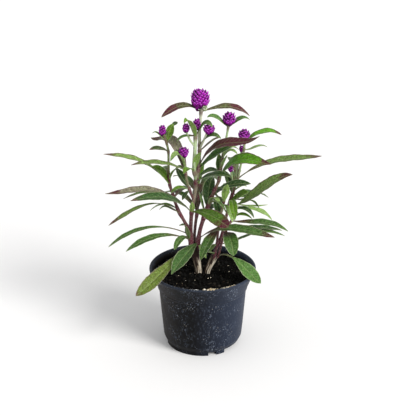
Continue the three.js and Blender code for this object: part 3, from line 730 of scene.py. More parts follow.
def leafBodies(path, row, random):
    kind, height, tipX, tipY, tipZ, liftNear, liftFar, width, roll, *shape = row
    twist, widest, pointed, stalk = shape + leafShape["usual"][len(shape) :]
    path = np.array(path, float)
    base = interpolated(height, path[:, 2], path)
    tip = np.array([tipX, tipY, tipZ], float)
    near = base + (tip - base) / 3 + upward * liftNear
    far = base + (tip - base) * 2 / 3 + upward * liftFar
    s = np.linspace(0, 1, 201)[:, None]  # fine enough for the even walk that follows
    curve = (1 - s) ** 3 * base + 3 * (1 - s) ** 2 * s * near + 3 * (1 - s) * s**2 * far + s**3 * tip
    steps = int(np.clip(round(lengthOf(curve) / leafShape["rowStep"]), *leafShape["rows"]))
    centre, length = evenly(curve, steps)
    t = np.linspace(0, 1, steps)
    along = unit(np.gradient(centre, axis=0))
    level = np.cross(upward, unit((tip - base) * [1, 1, 0]))
    normal = unit(np.cross(along, level))
    turn = np.radians(roll + twist * t)[:, None]
    side = level * np.cos(turn) + normal * np.sin(turn)
    face = unit(np.cross(along, side))

    # outline: a pointed oval that narrows to a stalk, its edge a little uneven
    bend = math.log(0.5) / math.log(widest)
    grown = np.clip((t - stalk) / (1 - stalk), 0, 1) ** bend
    blade = width / 2 * np.clip(np.sin(np.pi * grown), 0, 1) ** pointed
    least = leafShape["petioleHalf"] * (1 - t) + leafShape["tipHalf"] * t
    toTip = np.clip((1 - t) * length / leafShape["tipRound"], leafShape["tipBlunt"], 1)
    half = np.maximum(least, blade) * np.sqrt(1 - (1 - toTip) ** 2)
    phases = random.uniform(0, fullTurn, 4)
    columns = np.array(leafShape["columns"], float)
    out = np.abs(columns)
    alongSize = (t * length)[:, None]
    edgeTurn = alongSize * leafShape["edgeUnevennessTurn"] + np.where(columns < 0, phases[0], phases[1])
    acrossSize = columns * half[:, None] * (1 + leafShape["edgeUnevenness"] * np.sin(edgeTurn))
    bladeShare = np.clip((blade / (width / 2)), 0, 1)[:, None]

    # form: folded along the rib, waved at the edge, quilted between the side veins
    rise = leafShape["fold"] * half[:, None] * out**1.15
    wavePhase = np.where(columns < 0, phases[2], phases[3])
    wave = np.sin(fullTurn * alongSize / leafShape["waveLength"] + wavePhase)
    waveDepth = leafShape["waveDepth"] * min(1, width / leafShape["fullWaveWidth"])
    veinPlace = (alongSize - leafShape["veinSlant"] * np.abs(acrossSize)) / leafShape["veinSpacing"]
    quilt = np.abs(np.sin(np.pi * veinPlace)) * (out * (1.05 - out) * 4)
    rise = rise + (waveDepth * out**2.2 * wave + leafShape["veinDepth"] * quilt) * bladeShare
    groove = leafShape["grooveDepth"] * np.exp(-((acrossSize / leafShape["grooveHalf"]) ** 2)) * bladeShare
    ridge = leafShape["ridgeHeight"] * np.exp(-((acrossSize / leafShape["ridgeHalf"]) ** 2)) * bladeShare
    thickness = leafShape["thickness"] + (leafShape["edgeThickness"] - leafShape["thickness"]) * out**2
    thinning = np.exp(-((alongSize / leafShape["petioleFade"]) ** 2)) * (1 - 0.8 * out**2)
    thickness = thickness + leafShape["petioleThickness"] * thinning
    grid = centre[:, None] + side[:, None] * acrossSize[..., None]
    top = grid + face[:, None] * (rise - groove + thickness / 2)[..., None]
    under = grid + face[:, None] * (rise - ridge - thickness / 2)[..., None]
    points, faces = closedSheet(top, under)

    green, tipBlush, edgeBlush, blotches, stalkBlush = leafKinds[kind]
    shift = random.uniform(*leafShape["greenVariation"])
    tone = np.array(linear(green)) * [shift, shift, shift, stalkBlush]
    seed = random.uniform(0, patternShift)
    place = np.tile(gridOf(acrossSize.shape, columns, t[:, None], 0), (2, 1))
    place[len(place) // 2 :, 2] = 1  # the underside
    size = np.tile(gridOf(acrossSize.shape, acrossSize, alongSize, seed), (2, 1))
    blade = body(points, faces, 0, place, size, tone, (tipBlush, edgeBlush, blotches))
    return [blade, leafHairs(top, side, face, along, t, length, random)]


def leafHairs(top, side, face, along, t, length, random):
    # hairs that stand off both edges and lean towards the tip; the last of the tip stays bare
    count = int(length * leafShape["hairsPerEdge"])
    spots = random.uniform(*leafShape["hairPlaces"], count)
    nearest = np.interp(spots, t, np.arange(len(t)))
    low = np.floor(nearest).astype(int).clip(0, len(t) - 2)
    share = (nearest - low)[:, None]
    edge = np.where(random.random(count) < 0.5, 0, top.shape[1] - 1)
    roots = top[low, edge] * (1 - share) + top[low + 1, edge] * share
    sign = np.where(edge == 0, -1.0, 1.0)[:, None]
    forward = along[low] * random.uniform(*leafShape["hairForward"], (count, 1))
    lifted = face[low] * random.uniform(*leafShape["hairLift"], (count, 1))
    lengths = leafShape["hairLength"] * random.uniform(*leafShape["hairVariation"], count)
    points, faces = spikes(roots, unit(side[low] * sign + forward + lifted), lengths, leafShape["hairWidth"])
    return body(points, faces, 2, tone=linear(leafShape["hairTone"]))


def stemBodies(path, radii, tones, wine, nodeHeights, random):
    steps = max(6, round(lengthOf(path) / stemShape["ringStep"]))
    centre, length = centripetal(path, steps)
    t = np.linspace(0, 1, steps)
    sides = stemShape["sides"]
    along, angle, facing = tubeFrame(centre, sides)
    swollen = np.zeros(steps)
    for height in nodeHeights:
        nearness = np.exp(-(((centre[:, 2] - height) / stemShape["swellingReach"]) ** 2))
        swollen = np.maximum(swollen, nearness)
    radius = np.interp(t, np.linspace(0, 1, len(radii)), radii) * (1 + stemShape["swelling"] * swollen)
    reach = radius[:, None] * (1 + stemShape["ridgeDepth"] * np.cos(stemShape["ridges"] * angle))
    points = centre[:, None] + facing * reach[..., None]
    tone = interpolated(t, np.linspace(0, 1, len(tones)), [linear(c) for c in tones])
    wineShare = np.interp(t, np.linspace(0, 1, len(wine)), wine)
    wrap = stemShape["patternRadius"]
    size = gridOf(reach.shape, wrap * np.cos(angle), (t * length)[:, None], wrap * np.sin(angle))
    blush = np.stack([wineShare, stemShape["swellingWine"] * swollen, np.zeros(steps)], 1)
    tubePoints = points.reshape(-1, 3)
    faces = outward(tubePoints, tubeFaces(steps, sides))
    tone, blush = np.repeat(tone, sides, axis=0), np.repeat(blush, sides, axis=0)
    tube = body(tubePoints, faces, 1, None, size, tone, blush)

    # down: short hairs all over the stem, most of them leaning up it
    count = int(length * stemShape["hairsPerLength"])
    spot = random.integers(1, steps - 1, count)
    turn = random.integers(0, sides, count)
    roots = points[spot, turn] + along[spot] * random.uniform(*stemShape["hairSlide"], (count, 1))
    leaning = along[spot] * random.uniform(*stemShape["hairForward"], (count, 1))
    stray = random.normal(0, stemShape["hairStray"], (count, 3))
    directions = unit(facing[spot, turn] + leaning + stray)
    lengths = stemShape["hairLength"] * random.uniform(*stemShape["hairVariation"], count)
    hairPoints, hairFaces = spikes(roots, directions, lengths, stemShape["hairWidth"])
    return [tube, body(hairPoints, hairFaces, 2, tone=linear(stemShape["hairTone"]))]


for order, (name, stem) in enumerate(leafyStems.items()):
    random = np.random.default_rng(100 + order)
    heights = [row[1] for row in stem["leaves"]]
    bodies = stemBodies(stem["path"], stem["radii"], stem["tones"], stem["wine"], heights, random)
    for path, radii in stem["twigs"]:
        bodies += stemBodies(path, radii, stem["tones"][-2:], stemShape["twigWine"], [], random)
    for row in stem["leaves"]:
        bodies += leafBodies(stem["path"], row, random)
    addPiece(name + "_living", bodies, [leafSurface, stemSurface, downSurface], [name])


# Flower heads

headShape = {
    "bractsPerArea": 1.0,  # for each square millimetre of the radius times half the height
    "bractsLeast": 4,
    "coverage": 1.88,  # of 2 from top to bottom, so that the lowest part stays bare
    "coreShare": 0.8,
    "coreRings": 10,
    "coreAround": 20,
    "coreEnds": 0.12,  # radians left flat at its top and bottom
    "bluntness": 0.72,  # below 1 fills out the head's top and bottom
    "lowBluntness": 0.5,
    "flatBase": 0.62,  # height of the lower half for each unit of the upper
    "reach": (0.95, 1.08),  # of a bract's tip, in radii
    "jitter": 0.03,
    "bractRows": 9,
    "bractColumns": [-1, -0.6, -0.25, 0, 0.25, 0.6, 1],
    "bractLength": (0.58, 0.7),  # in radii, besides the root
    "bractRoot": 1.3,
    "bractBow": 0.09,  # for each unit of length
    "bractAim": (0.42, 0.95, 0.1),  # how much it points outwards, up and level
    "bractStray": 0.06,
    "keelTilt": 0.05,
    "widthVariation": (0.85, 1.15),
    "brightness": (0.6, 1.5),
    "greenness": (0.6, 1.6),  # a little more green makes a bract paler, a little less makes it purer
    "halfWidth": 2.1,
    "halfWidthMost": 0.42,  # in radii
    "fold": 0.55,
    "thickness": 0.14,
    "lean": 0.06,
    "tone": "#860789",
    "coreShadeTone": "#5c0a64",
    "calyxScales": 7,
    "calyxPolar": (0.62, 0.8),  # in half turns from the top
    "calyxStray": 0.3,
    "calyxRadius": (0.8, 0.2),  # a length, and more for each unit of the head's radius
    "calyxHeight": 0.26,  # for each unit of the head's height
    "calyxSunk": 0.02,  # below the head, for each unit of half its height
    "calyxTones": ["#a7b48c", "#c9cfb8", "#7f9468"],
}

# the young bud that hangs under the largest head's right side
bud = {"centre": (2.9, -1.8, 279.2), "radius": 3.1, "height": 5.6, "scales": 14, "coverage": 1.9}

# each head's middle, radius and height
heads = {
    "head_01": [(-2, 6, 287), 10.2, 21],
    "head_02": [(29, 9, 264.2), 7.2, 14],
    "head_03": [(45, 12, 245), 6.6, 11],
    "head_04": [(-5.8, 1.6, 259.5), 4.7, 13],
    "head_05": [(-17.4, -1, 256.4), 4.4, 11],
    "head_06": [(7.2, 0, 255.5), 6.6, 10.5],
    "head_07": [(-43, 6, 251.5), 4.3, 12],
    "head_08": [(-20, -3, 230), 5.8, 11],
    "head_09": [(43, 21, 225), 3.2, 8],
    "head_10": [(31, 18, 203), 3.2, 8],
}

bractPaint = {
    # painted shade at each bract's root, where it lies under its neighbours
    "fold": "#34042f",
    "tip": "#d268de",
    "nerveSize": 0.3125,  # across the bract
    "nerveStretch": 0.15,  # nerves are this much as dense along the bract as across it
    "reliefDepth": 0.1,
}


def paperyBract():
    # Dry papery bract: stiff and matt with fine lengthwise nerves, light at its tip, painted shade at its
    # root.
    material, tree = startMaterial("dryPaperyBract")
    names = ("place", "size", "tone")
    place, size, tone = (addNode(tree, "Attribute", {}, attribute_name=name) for name in names)
    acrossShare, alongShare, _ = addNode(tree, "SeparateXYZ", [place]).outputs
    nerves = addNode(tree, "VectorMath", [size, (1, bractPaint["nerveStretch"], 1)], operation="MULTIPLY")
    fibre = addNode(tree, "TexNoise", {"Vector": nerves, "Scale": 1 / bractPaint["nerveSize"], "Detail": 3})
    shade = addNode(tree, "MapRange", [fibre, 0.3, 0.7, 0.75, 1.25])
    colour = addNode(tree, "VectorMath", [tone, shade], operation="SCALE")
    # painted shade: darker towards the root
    deepShade = addNode(tree, "MapRange", [alongShare, 0.35, 0.75, 0.9, 0])
    edgeward = addNode(tree, "Math", [acrossShare], operation="ABSOLUTE")
    outer = addNode(tree, "Math", [edgeward, 0.16, alongShare], operation="MULTIPLY_ADD")
    light = addNode(tree, "MapRange", [outer, 0.82, 1.06, 0, 0.9])
    for share, name in ((deepShade, "fold"), (light, "tip")):
        colour = addNode(tree, "Mix", [share, colour, linear(bractPaint[name])], data_type="RGBA")
    raised = {"Strength": 0.4, "Distance": bractPaint["reliefDepth"] * millimetre, "Height": fibre}
    return finishMaterial(
        material,
        {
            "Base Color": colour,
            "Normal": addNode(tree, "Bump", raised),
            "Roughness": 0.55,
            "IOR": 1.45,
            "Subsurface Weight": 0.1,
            "Subsurface Radius": (1.0, 0.3, 1.0),
            "Subsurface Scale": 1.0 * millimetre,
            "Specular IOR Level": 0.14,
            "Sheen Weight": 0.06,
            "Sheen Roughness": 0.4,
            "Sheen Tint": linear("#f0c8f4"),
        },
    )


def headPoint(radius, height, polar, turn):  # a point of a head's blunt egg shape
    blunt = headShape["bluntness"] if polar < math.pi / 2 else headShape["lowBluntness"]
    flat = math.sin(polar) ** blunt * radius
    rise = height / 2 * math.cos(polar) * (headShape["flatBase"] if polar > math.pi / 2 else 1)
    return np.array([flat * math.cos(turn), flat * math.sin(turn), rise])


def bractBody(centre, radius, height, polar, turn, random, plainTone=None):
    # one keeled bract: a folded pointed scale from inside the head to its surface, leaning up
    flat = np.array([math.cos(turn), math.sin(turn), 0])
    outwards = flat * math.sin(polar) + upward * math.cos(polar)
    tip = headPoint(radius, height, polar, turn) * random.uniform(*headShape["reach"])
    tip = tip + upward * headShape["lean"] * radius * math.sin(polar)
    out, up, level = headShape["bractAim"]
    stray = random.normal(0, headShape["bractStray"], 3)
    aim = unit(outwards * out + upward * up + flat * level + stray)
    length = radius * random.uniform(*headShape["bractLength"]) + headShape["bractRoot"]
    start = tip - aim * length
    keel = unit(outwards - aim * np.dot(outwards, aim) + flat * headShape["keelTilt"])
    side = unit(np.cross(aim, keel))
    s = np.linspace(0, 1, headShape["bractRows"])
    c = np.array(headShape["bractColumns"], float)
    widest = min(headShape["halfWidth"], radius * headShape["halfWidthMost"])
    widest = widest * random.uniform(*headShape["widthVariation"])
    # already wide at the root, widest below the middle and pointed at the tip
    half = widest * np.clip(np.sin(np.pi * (0.2 + 0.8 * s) ** 1.1), 0, 1) ** 0.7 + 0.04
    bow = keel * (headShape["bractBow"] * length * np.sin(np.pi * s))[:, None]
    across = c * half[:, None]
    back = -np.abs(c) ** 1.3 * half[:, None] * headShape["fold"]
    grid = (start + aim * (length * s)[:, None] + bow)[:, None]
    grid = grid + side * across[..., None] + keel * back[..., None]
    halfThick = keel * headShape["thickness"] / 2
    points, faces = closedSheet(grid + halfThick, grid - halfThick)
    size = gridOf(across.shape, across, (s * length)[:, None], random.uniform(0, patternShift))
    place = gridOf(across.shape, c, s[:, None], 0)
    shift = random.uniform(*headShape["brightness"])
    green = shift * random.uniform(*headShape["greenness"])
    tone = np.array(linear(headShape["tone"])) * [shift, green, shift, 1]
    if plainTone:
        place[:] = (0, 0.75, 0)  # neither painted shade nor light tip
        tone = linear(plainTone)
    return body(points + centre, faces, 0, np.tile(place, (2, 1)), np.tile(size, (2, 1)), tone)


def coreBody(centre, radius, height):  # the middle that shows between the bracts, darkened as painted shade in the gaps
    share, rings, around = headShape["coreShare"], headShape["coreRings"], headShape["coreAround"]
    polars = np.linspace(headShape["coreEnds"], np.pi - headShape["coreEnds"], rings)
    turns = np.linspace(0, fullTurn, around, endpoint=False)
    points = np.array([headPoint(radius * share, height * share, p, q) for p in polars for q in turns])
    faces = outward(points, tubeFaces(rings, around))
    return body(points + centre, faces, 0, (0, 0.3, 0), points, linear(headShape["coreShadeTone"]))


def headBodies(centre, radius, height, random):
    centre = np.array(centre, float)
    count = round(headShape["bractsPerArea"] * radius * height / 2) + headShape["bractsLeast"]
    bodies = [coreBody(centre, radius, height)]
    for k in range(count):
        polar = math.acos(1 - headShape["coverage"] * (k + 0.5) / count)
        polar = abs(polar + random.normal(0, headShape["jitter"]))
        turn = k * goldenTurn + random.normal(0, 2 * headShape["jitter"])
        bodies.append(bractBody(centre, radius, height, polar, turn, random))
    calyx = centre - upward * height / 2 * (headShape["flatBase"] + headShape["calyxSunk"])
    calyxRadius = headShape["calyxRadius"][0] + headShape["calyxRadius"][1] * radius
    calyxHeight = headShape["calyxHeight"] * height
    for k in range(headShape["calyxScales"]):  # woolly scales between the stem and the head
        polar = random.uniform(*headShape["calyxPolar"]) * math.pi
        stray = random.uniform(-headShape["calyxStray"], headShape["calyxStray"])
        turn = fullTurn * k / headShape["calyxScales"] + stray
        tone = headShape["calyxTones"][random.integers(3)]
        bodies.append(bractBody(calyx, calyxRadius, calyxHeight, polar, turn, random, tone))
    return bodies


def budBodies(random):
    bodies = []
    for k in range(bud["scales"]):
        polar = math.acos(1 - bud["coverage"] * (k + 0.5) / bud["scales"])
        tone = headShape["calyxTones"][random.integers(3)]
        scale = (bud["radius"], bud["height"], polar, k * goldenTurn, random, tone)
        bodies.append(bractBody(np.array(bud["centre"]), *scale))
    return bodies


bractSurface = paperyBract()
for order, (name, (centre, radius, height)) in enumerate(heads.items()):
    random = np.random.default_rng(300 + order)
    bodies = headBodies(centre, radius, height, random)
    if name == "head_01":
        bodies += budBodies(random)
    addPiece(name + "_papery", bodies, [bractSurface], [name], 40)


# Woody bases

barkShape = {
    "sides": 28,
    "ringStep": 1.2,
    "ridgeDepth": 0.09,
    "ridgeWaves": (2, 3, 5, 7, 11),  # around the stem, larger ones first
    "patternRadius": 4.0,
    "tones": ["#67543f", "#a3947d", "#c8bda9", "#b0a48d"],  # painted light and shade: from the shaded brown left side to the lit one
    "litFrom": 0.35,  # radians
    "youngTone": "#3f1f26",  # of the wine red skin above the old wood
    "skinFrom": (99, 105),  # heights between which the skin sets in
}

barkPaint = {
    "crack": "#2a1c14",
    "worn": "#e6dfd0",
    "crackSize": 1.667,  # across the stem
    "crackStretch": 0.1,  # cracks are this much as dense along the stem as across it
    "crackDepth": 1.2,
}

woodyBases = {
    "woody_base_left": {
        "path": [
            (-4.6, -1, 60), (-4.6, -1, 74), (-4.6, -1, 86), (-6, -1, 98), (-8.6, 0.2, 109), (-9.3, 0.8, 117),
        ],
        "radii": [5, 4.9, 4.6, 4.5, 5.2],
    },
    "woody_base_right": {
        "path": [(5.6, 1, 60), (5.6, 1, 74), (5.6, 1, 86), (9.5, 2.5, 95), (13.5, 4, 103)],
        "radii": [4.1, 4, 3.9, 3.9, 4.3],
    },
}


def weatheredBark():
    # Old stem bark: matt, split lengthwise, pale where it has worn through and brown in the cracks.
    material, tree = startMaterial("weatheredBark")
    names = ("size", "tone", "blush")
    size, tone, blush = (addNode(tree, "Attribute", {}, attribute_name=name) for name in names)
    young, _, _ = addNode(tree, "SeparateXYZ", [blush]).outputs
    stretched = addNode(tree, "VectorMath", [size, (1, barkPaint["crackStretch"], 1)], operation="MULTIPLY")
    noise = {"Vector": stretched, "Scale": 1 / barkPaint["crackSize"], "Detail": 5, "Roughness": 0.6}
    cracks = addNode(tree, "TexNoise", noise)
    crack = addNode(tree, "MapRange", [cracks, 0.49, 0.54, 1, 0])
    worn = addNode(tree, "MapRange", [cracks, 0.56, 0.66, 0, 0.8])
    bare = addNode(tree, "Math", [young, -0.8, 1], operation="MULTIPLY_ADD")
    colour = tone
    wornBare = addNode(tree, "Math", [worn, bare], operation="MULTIPLY")
    for share, name in ((crack, "crack"), (wornBare, "worn")):
        colour = addNode(tree, "Mix", [share, colour, linear(barkPaint[name])], data_type="RGBA")
    raised = {"Strength": 0.9, "Distance": barkPaint["crackDepth"] * millimetre, "Height": cracks}
    joined = {"Base Color": colour, "Normal": addNode(tree, "Bump", raised)}
    return finishMaterial(material, {**joined, "Roughness": 0.85, "IOR": 1.5, "Specular IOR Level": 0.3})


def woodBody(path, radii, random):
    steps = round(lengthOf(path) / barkShape["ringStep"])
    centre, length = centripetal(path, steps)
    t = np.linspace(0, 1, steps)
    sides = barkShape["sides"]
    _, angle, facing = tubeFrame(centre, sides)
    ridge = np.zeros((steps, sides))
    for wave in barkShape["ridgeWaves"]:
        phase = random.uniform(0, fullTurn)
        drift = random.uniform(-1.5, 1.5)
        ridge += np.cos(wave * angle + phase + drift * t[:, None]) / wave**0.6
    radius = np.interp(t, np.linspace(0, 1, len(radii)), radii)
    reach = radius[:, None] * (1 + barkShape["ridgeDepth"] * (ridge - ridge.max()) / 2)
    points = (centre[:, None] + facing * reach[..., None]).reshape(-1, 3)
    # painted light and shade around the stem: pale towards the window, brown on the far side
    lit = (np.cos(angle - barkShape["litFrom"]) + 1) / 2
    tones = [linear(c) for c in barkShape["tones"]]
    old = interpolated(lit, np.linspace(0, 1, len(tones)), tones)
    young = np.clip((centre[:, 2] - barkShape["skinFrom"][0]) / np.ptp(barkShape["skinFrom"]), 0, 1)
    young = young[:, None, None]
    tone = (old[None] * (1 - young) + np.array(linear(barkShape["youngTone"])) * young).reshape(-1, 4)
    wrap = barkShape["patternRadius"]
    size = gridOf(reach.shape, wrap * np.cos(angle), (t * length)[:, None], wrap * np.sin(angle))
    blush = np.repeat(young[:, 0], sides, axis=0) * [1, 1, 1]
    return body(points, outward(points, tubeFaces(steps, sides)), 0, None, size, tone, blush)


barkSurface = weatheredBark()
for order, (name, base) in enumerate(woodyBases.items()):
    wood = woodBody(base["path"], base["radii"], np.random.default_rng(500 + order))
    addPiece(name + "_bark", [wood], [barkSurface], [name])


# Soil

soilShape = {
    "height": 84,
    "ripple": 0.9,
    "rippleTurns": (0.31, 0.27, 0.52),  # radians for each millimetre across, in depth and diagonally
    "ripplePhase": 1.3,
    "diagonalShare": 0.6,
    "calmMiddle": 12,  # radius within which the ripples die out
    "heap": 0.022,  # slope down to the right
    "rimInside": 52.4,
    "edgeShare": 0.1,  # of the radius over which the soil drops to the wall
    "edgeDrop": 2.5,
    "rings": 46,
    "around": 144,
    # radius and height of the rings below the top, down the wall and in to the middle of the base
    "lower": [(48.6, 70.5), (47.3, 67), (42.2, 10.4), (40.2, 6.2), (34.4, 6.2), (32, 1.7), (0.4, 1.7)],
    "roughness": 1.0,  # of the surface, as a share of the height that its crumbs have by themselves
    "tone": "#0b0a09",
    "spread": 50.5,  # radius within which loose pieces lie
    "clods": 1100,
    "clodSizes": (0.5, 1.9),
    "clodRarity": 2.5,  # the higher, the fewer large ones
    "clodVariation": (0.6, 1.15),
    "clodShades": (0.5, 1.7),
    "clodRise": 0.3,  # for each unit of size
    "clodTones": ["#141413", "#25221e"],
    "darkClods": 0.9,  # share of the first tone
    "fibres": 60,
    "fibreTones": ["#2a211a", "#1d1814", "#4a4238"],
    "fibreRadii": [(1.2, 3.2), (0.18, 0.4), (0.15, 0.3)],
    "fibreRise": (0.6, 1.4),
    "grains": 14,
    "grainTones": ["#cfc4ad", "#a89a80", "#e8e4da"],
    "grainRadii": (0.25, 0.55),
    "grainRise": 0.9,
    "knownGrainTone": "#ddd2bb",
    "knownGrainRadii": [0.62, 0.5, 0.45],
    "knownGrainRise": 1.1,
    "edgeSmoothness": 0.4,  # how much lower the surface's crumbs are at the wall
}

soilPattern = {
    "size": 2.38,
    "detail": 6,
    "roughness": 0.7,
    "contrast": (0.35, 0.7, 0.45, 1.9),  # pattern from and to, brightness from and to
    "strength": 0.9,
    "depth": 0.8,
}

# the crossing waves that crumble the surface: their lengths and directions, how much longer the crossing
# one of each pair is, how quickly they weaken from one to the next, and the height of the first
crumbWaves = {
    "waves": [(7.1, 0.3), (5.3, 1.4), (3.7, 2.3), (2.9, 0.9), (2.1, 1.9), (1.6, 2.8)],
    "crossing": 1.3,
    "weakening": 0.35,
    "height": 0.3,
}

# pale grains that the photograph shows on the soil, x and y
knownGrains = [(29, 17.5), (29.8, 2), (6.1, -15.7), (8.9, -15.7), (-8.5, -3.1)]


def soilTop(x, y):  # the same slow unevenness as the packed soil
    across, inDepth, diagonal = soilShape["rippleTurns"]
    ripples = np.sin(x * across + soilShape["ripplePhase"]) * np.cos(y * inDepth)
    ripples = ripples + soilShape["diagonalShare"] * np.sin((x - y) * diagonal)
    calm = np.minimum(1, np.hypot(x, y) / soilShape["calmMiddle"])
    return soilShape["height"] + soilShape["ripple"] * ripples * calm - soilShape["heap"] * x


def crumbled(x, y):  # quick unevenness from crossing waves of falling length
    total = np.zeros_like(x)
    for k, (length, turn) in enumerate(crumbWaves["waves"]):
        wave = (x * math.cos(turn) + y * math.sin(turn)) / length
        cross = (-x * math.sin(turn) + y * math.cos(turn)) / (length * crumbWaves["crossing"])
        both = np.sin(fullTurn * wave + k) * np.cos(fullTurn * cross + 2 * k)
        total += both / (1 + k * crumbWaves["weakening"])
    return total * crumbWaves["height"]


def crumbly(name, pattern, shaderInputs):
    # a crumbly material of the tones that its bodies give it, lighter and darker in patches
    material, tree = startMaterial(name)
    tone = addNode(tree, "Attribute", {}, attribute_name="tone")
    where = addNode(tree, "TexCoord", {}).outputs["Object"]
    noise = {"Vector": where, "Scale": 1 / (pattern["size"] * millimetre)}
    noise.update({"Detail": pattern["detail"], "Roughness": pattern["roughness"]})
    crumbs = addNode(tree, "TexNoise", noise)
    shade = addNode(tree, "MapRange", [crumbs, *pattern["contrast"]])
    colour = addNode(tree, "VectorMath", [tone, shade], operation="SCALE")
    raised = {"Strength": pattern["strength"], "Distance": pattern["depth"] * millimetre, "Height": crumbs}
    joined = {"Base Color": colour, "Normal": addNode(tree, "Bump", raised)}
    return finishMaterial(material, {**joined, **shaderInputs})


def pottingMix():
    # Moist peat and bark fines: near black, matt and crumbly.
    shaderInputs = {"Roughness": 0.92, "IOR": 1.4, "Specular IOR Level": 0.06}
    return crumbly("moistPottingMix", soilPattern, shaderInputs)


def lumpShape():  # a ball of twenty faces, each split in four
    golden = (1 + math.sqrt(5)) / 2
    corners = []
    for a in (-1, 1):
        for b in (-golden, golden):
            corners += [(0, a, b), (a, b, 0), (b, 0, a)]
    corners = np.array(corners, float)
    faces = []
    for i in range(12):
        for j in range(i + 1, 12):
            for k in range(i + 1, 12):
                trio = corners[[i, j, k]]
                edges = np.linalg.norm(trio - np.roll(trio, 1, axis=0), axis=1)
                facing = np.dot(np.cross(trio[1] - trio[0], trio[2] - trio[0]), trio.mean(axis=0))
                if j != k and edges.max() < 2.1 and facing > 0:  # neighbours lie 2 apart
                    faces.append((i, j, k))
    points = [tuple(p) for p in corners]
    middles = {}

    def between(i, j):
        pair = (min(i, j), max(i, j))
        if pair not in middles:
            middles[pair] = len(points)
            points.append(tuple((np.array(points[i]) + points[j]) / 2))
        return middles[pair]

    split = []
    for i, j, k in faces:
        a, b, c = between(i, j), between(j, k), between(k, i)
        split += [(i, a, c), (j, b, a), (k, c, b), (a, b, c)]
    return unit(np.array(points)), split


lumpPoints, lumpFaces = lumpShape()


def lump(centre, radii, random, tone, rough=0.22):  # one uneven lump, turned at random
    turned, _ = np.linalg.qr(unit(random.normal(size=(3, 3))))
    if np.linalg.det(turned) < 0:
        turned[:, 0] *= -1
    bumps = 1 + rough * random.uniform(-1, 1, (len(lumpPoints), 1))
    return body((lumpPoints * bumps * radii) @ turned.T + centre, lumpFaces, tone=tone)


def nearWall(radius):  # 0 over most of the soil, rising to 1 at the wall
    return np.clip(1 - (1 - radius / soilShape["rimInside"]) / soilShape["edgeShare"], 0, 1)


def soilSpot(random):  # a point of the surface, as likely anywhere
    radius = soilShape["spread"] * math.sqrt(random.random())
    turn = random.uniform(0, fullTurn)
    x, y = radius * math.cos(turn), radius * math.sin(turn)
    return np.array([x, y, soilTop(x, y) - soilShape["edgeDrop"] * nearWall(radius) ** 2])


def soilBodies():
    random = np.random.default_rng(700)
    radii = soilShape["rimInside"] * np.linspace(0.012, 1, soilShape["rings"])[:, None] ** 0.9
    angle = np.linspace(0, fullTurn, soilShape["around"], endpoint=False)
    x, y, edge = radii * np.cos(angle), radii * np.sin(angle), nearWall(radii)
    crumbs = soilShape["roughness"] * crumbled(x, y) * (1 - soilShape["edgeSmoothness"] * edge)
    top = gridOf(x.shape, x, y, soilTop(x, y) + crumbs - soilShape["edgeDrop"] * edge**2)
    lower = np.array(soilShape["lower"])
    radius, height = lower[:, :1], lower[:, 1:]
    below = gridOf((len(lower), len(angle)), radius * np.cos(angle), radius * np.sin(angle), height)
    points = np.concatenate([top, below])
    faces = outward(points, tubeFaces(soilShape["rings"] + len(lower), soilShape["around"]))
    bodies = [body(points, faces, tone=linear(soilShape["tone"]))]
    for _ in range(soilShape["clods"]):
        low, high = soilShape["clodSizes"]
        size = low + (high - low) * random.random() ** soilShape["clodRarity"]
        shade = random.uniform(*soilShape["clodShades"])
        tone = soilShape["clodTones"][0 if random.random() < soilShape["darkClods"] else 1]
        tone = np.array(linear(tone)) * [shade, shade, shade, 1]
        middle = soilSpot(random) + upward * size * soilShape["clodRise"]
        bodies.append(lump(middle, size * random.uniform(*soilShape["clodVariation"], 3), random, tone))
    for _ in range(soilShape["fibres"]):  # thin flat lumps, lying any way round
        tone = linear(soilShape["fibreTones"][random.integers(3)])
        radii = np.array([random.uniform(*span) for span in soilShape["fibreRadii"]])
        turn = random.uniform(0, np.pi)
        cosine, sine = math.cos(turn), math.sin(turn)
        turned = np.array([[cosine, -sine, 0], [sine, cosine, 0], [0, 0, 1]])
        middle = soilSpot(random) + upward * random.uniform(*soilShape["fibreRise"])
        bodies.append(body((lumpPoints * radii) @ turned.T + middle, lumpFaces, tone=tone))
    for _ in range(soilShape["grains"]):
        tone = linear(soilShape["grainTones"][random.integers(3)])
        radii = np.full(3, random.uniform(*soilShape["grainRadii"]))
        bodies.append(lump(soilSpot(random) + upward * soilShape["grainRise"], radii, random, tone))
    for x, y in knownGrains:
        middle = np.array([x, y, soilTop(x, y) + soilShape["knownGrainRise"]])
        radii, tone = np.array(soilShape["knownGrainRadii"]), linear(soilShape["knownGrainTone"])
        bodies.append(lump(middle, radii, random, tone))
    return bodies


addPiece("soil_crumbly", soilBodies(), [pottingMix()], ["soil"], 80)


# Pot

potShape = {
    "around": 192,
    "ringStep": 4,  # most height between two rings of the wall
    "footSpans": [(-165, -81), (-68, -54), (0, 42), (54, 65), (110, 152), (172, 183)],
    "footStep": 3,  # degrees
    "footOut": 41.5,
    "footIn": 39.4,
    "footTop": 5.0,
    "footEdge": 0.2,  # cut off its lower edges
    "footFlare": 0.3,  # how much wider it is at its top
    "drainRadius": 3.2,
    "drainRing": 39,
    "drainSides": 32,
    "drainFrom": (-1.6, 10.4),  # heights that the drill runs between
    "cornerRound": 0.5,
    "pushedIn": 0.15,  # where handling has pushed the wall
    "slackHeights": (8, 28, 76, 88),  # the wall gives between the outer two, fully between the inner two
    # waves around the wall: how many, depth, phase, and drift for each millimetre of height
    "dents": [(3, 0.12, 0.4, 0.02), (7, 0.09, 1.1, -0.05), (17, 0.05, 0.0, 0.2)],
    "insideShadeTop": 88.5,  # of the painted shade on the inside wall
    "insideShadeFade": 3,
}

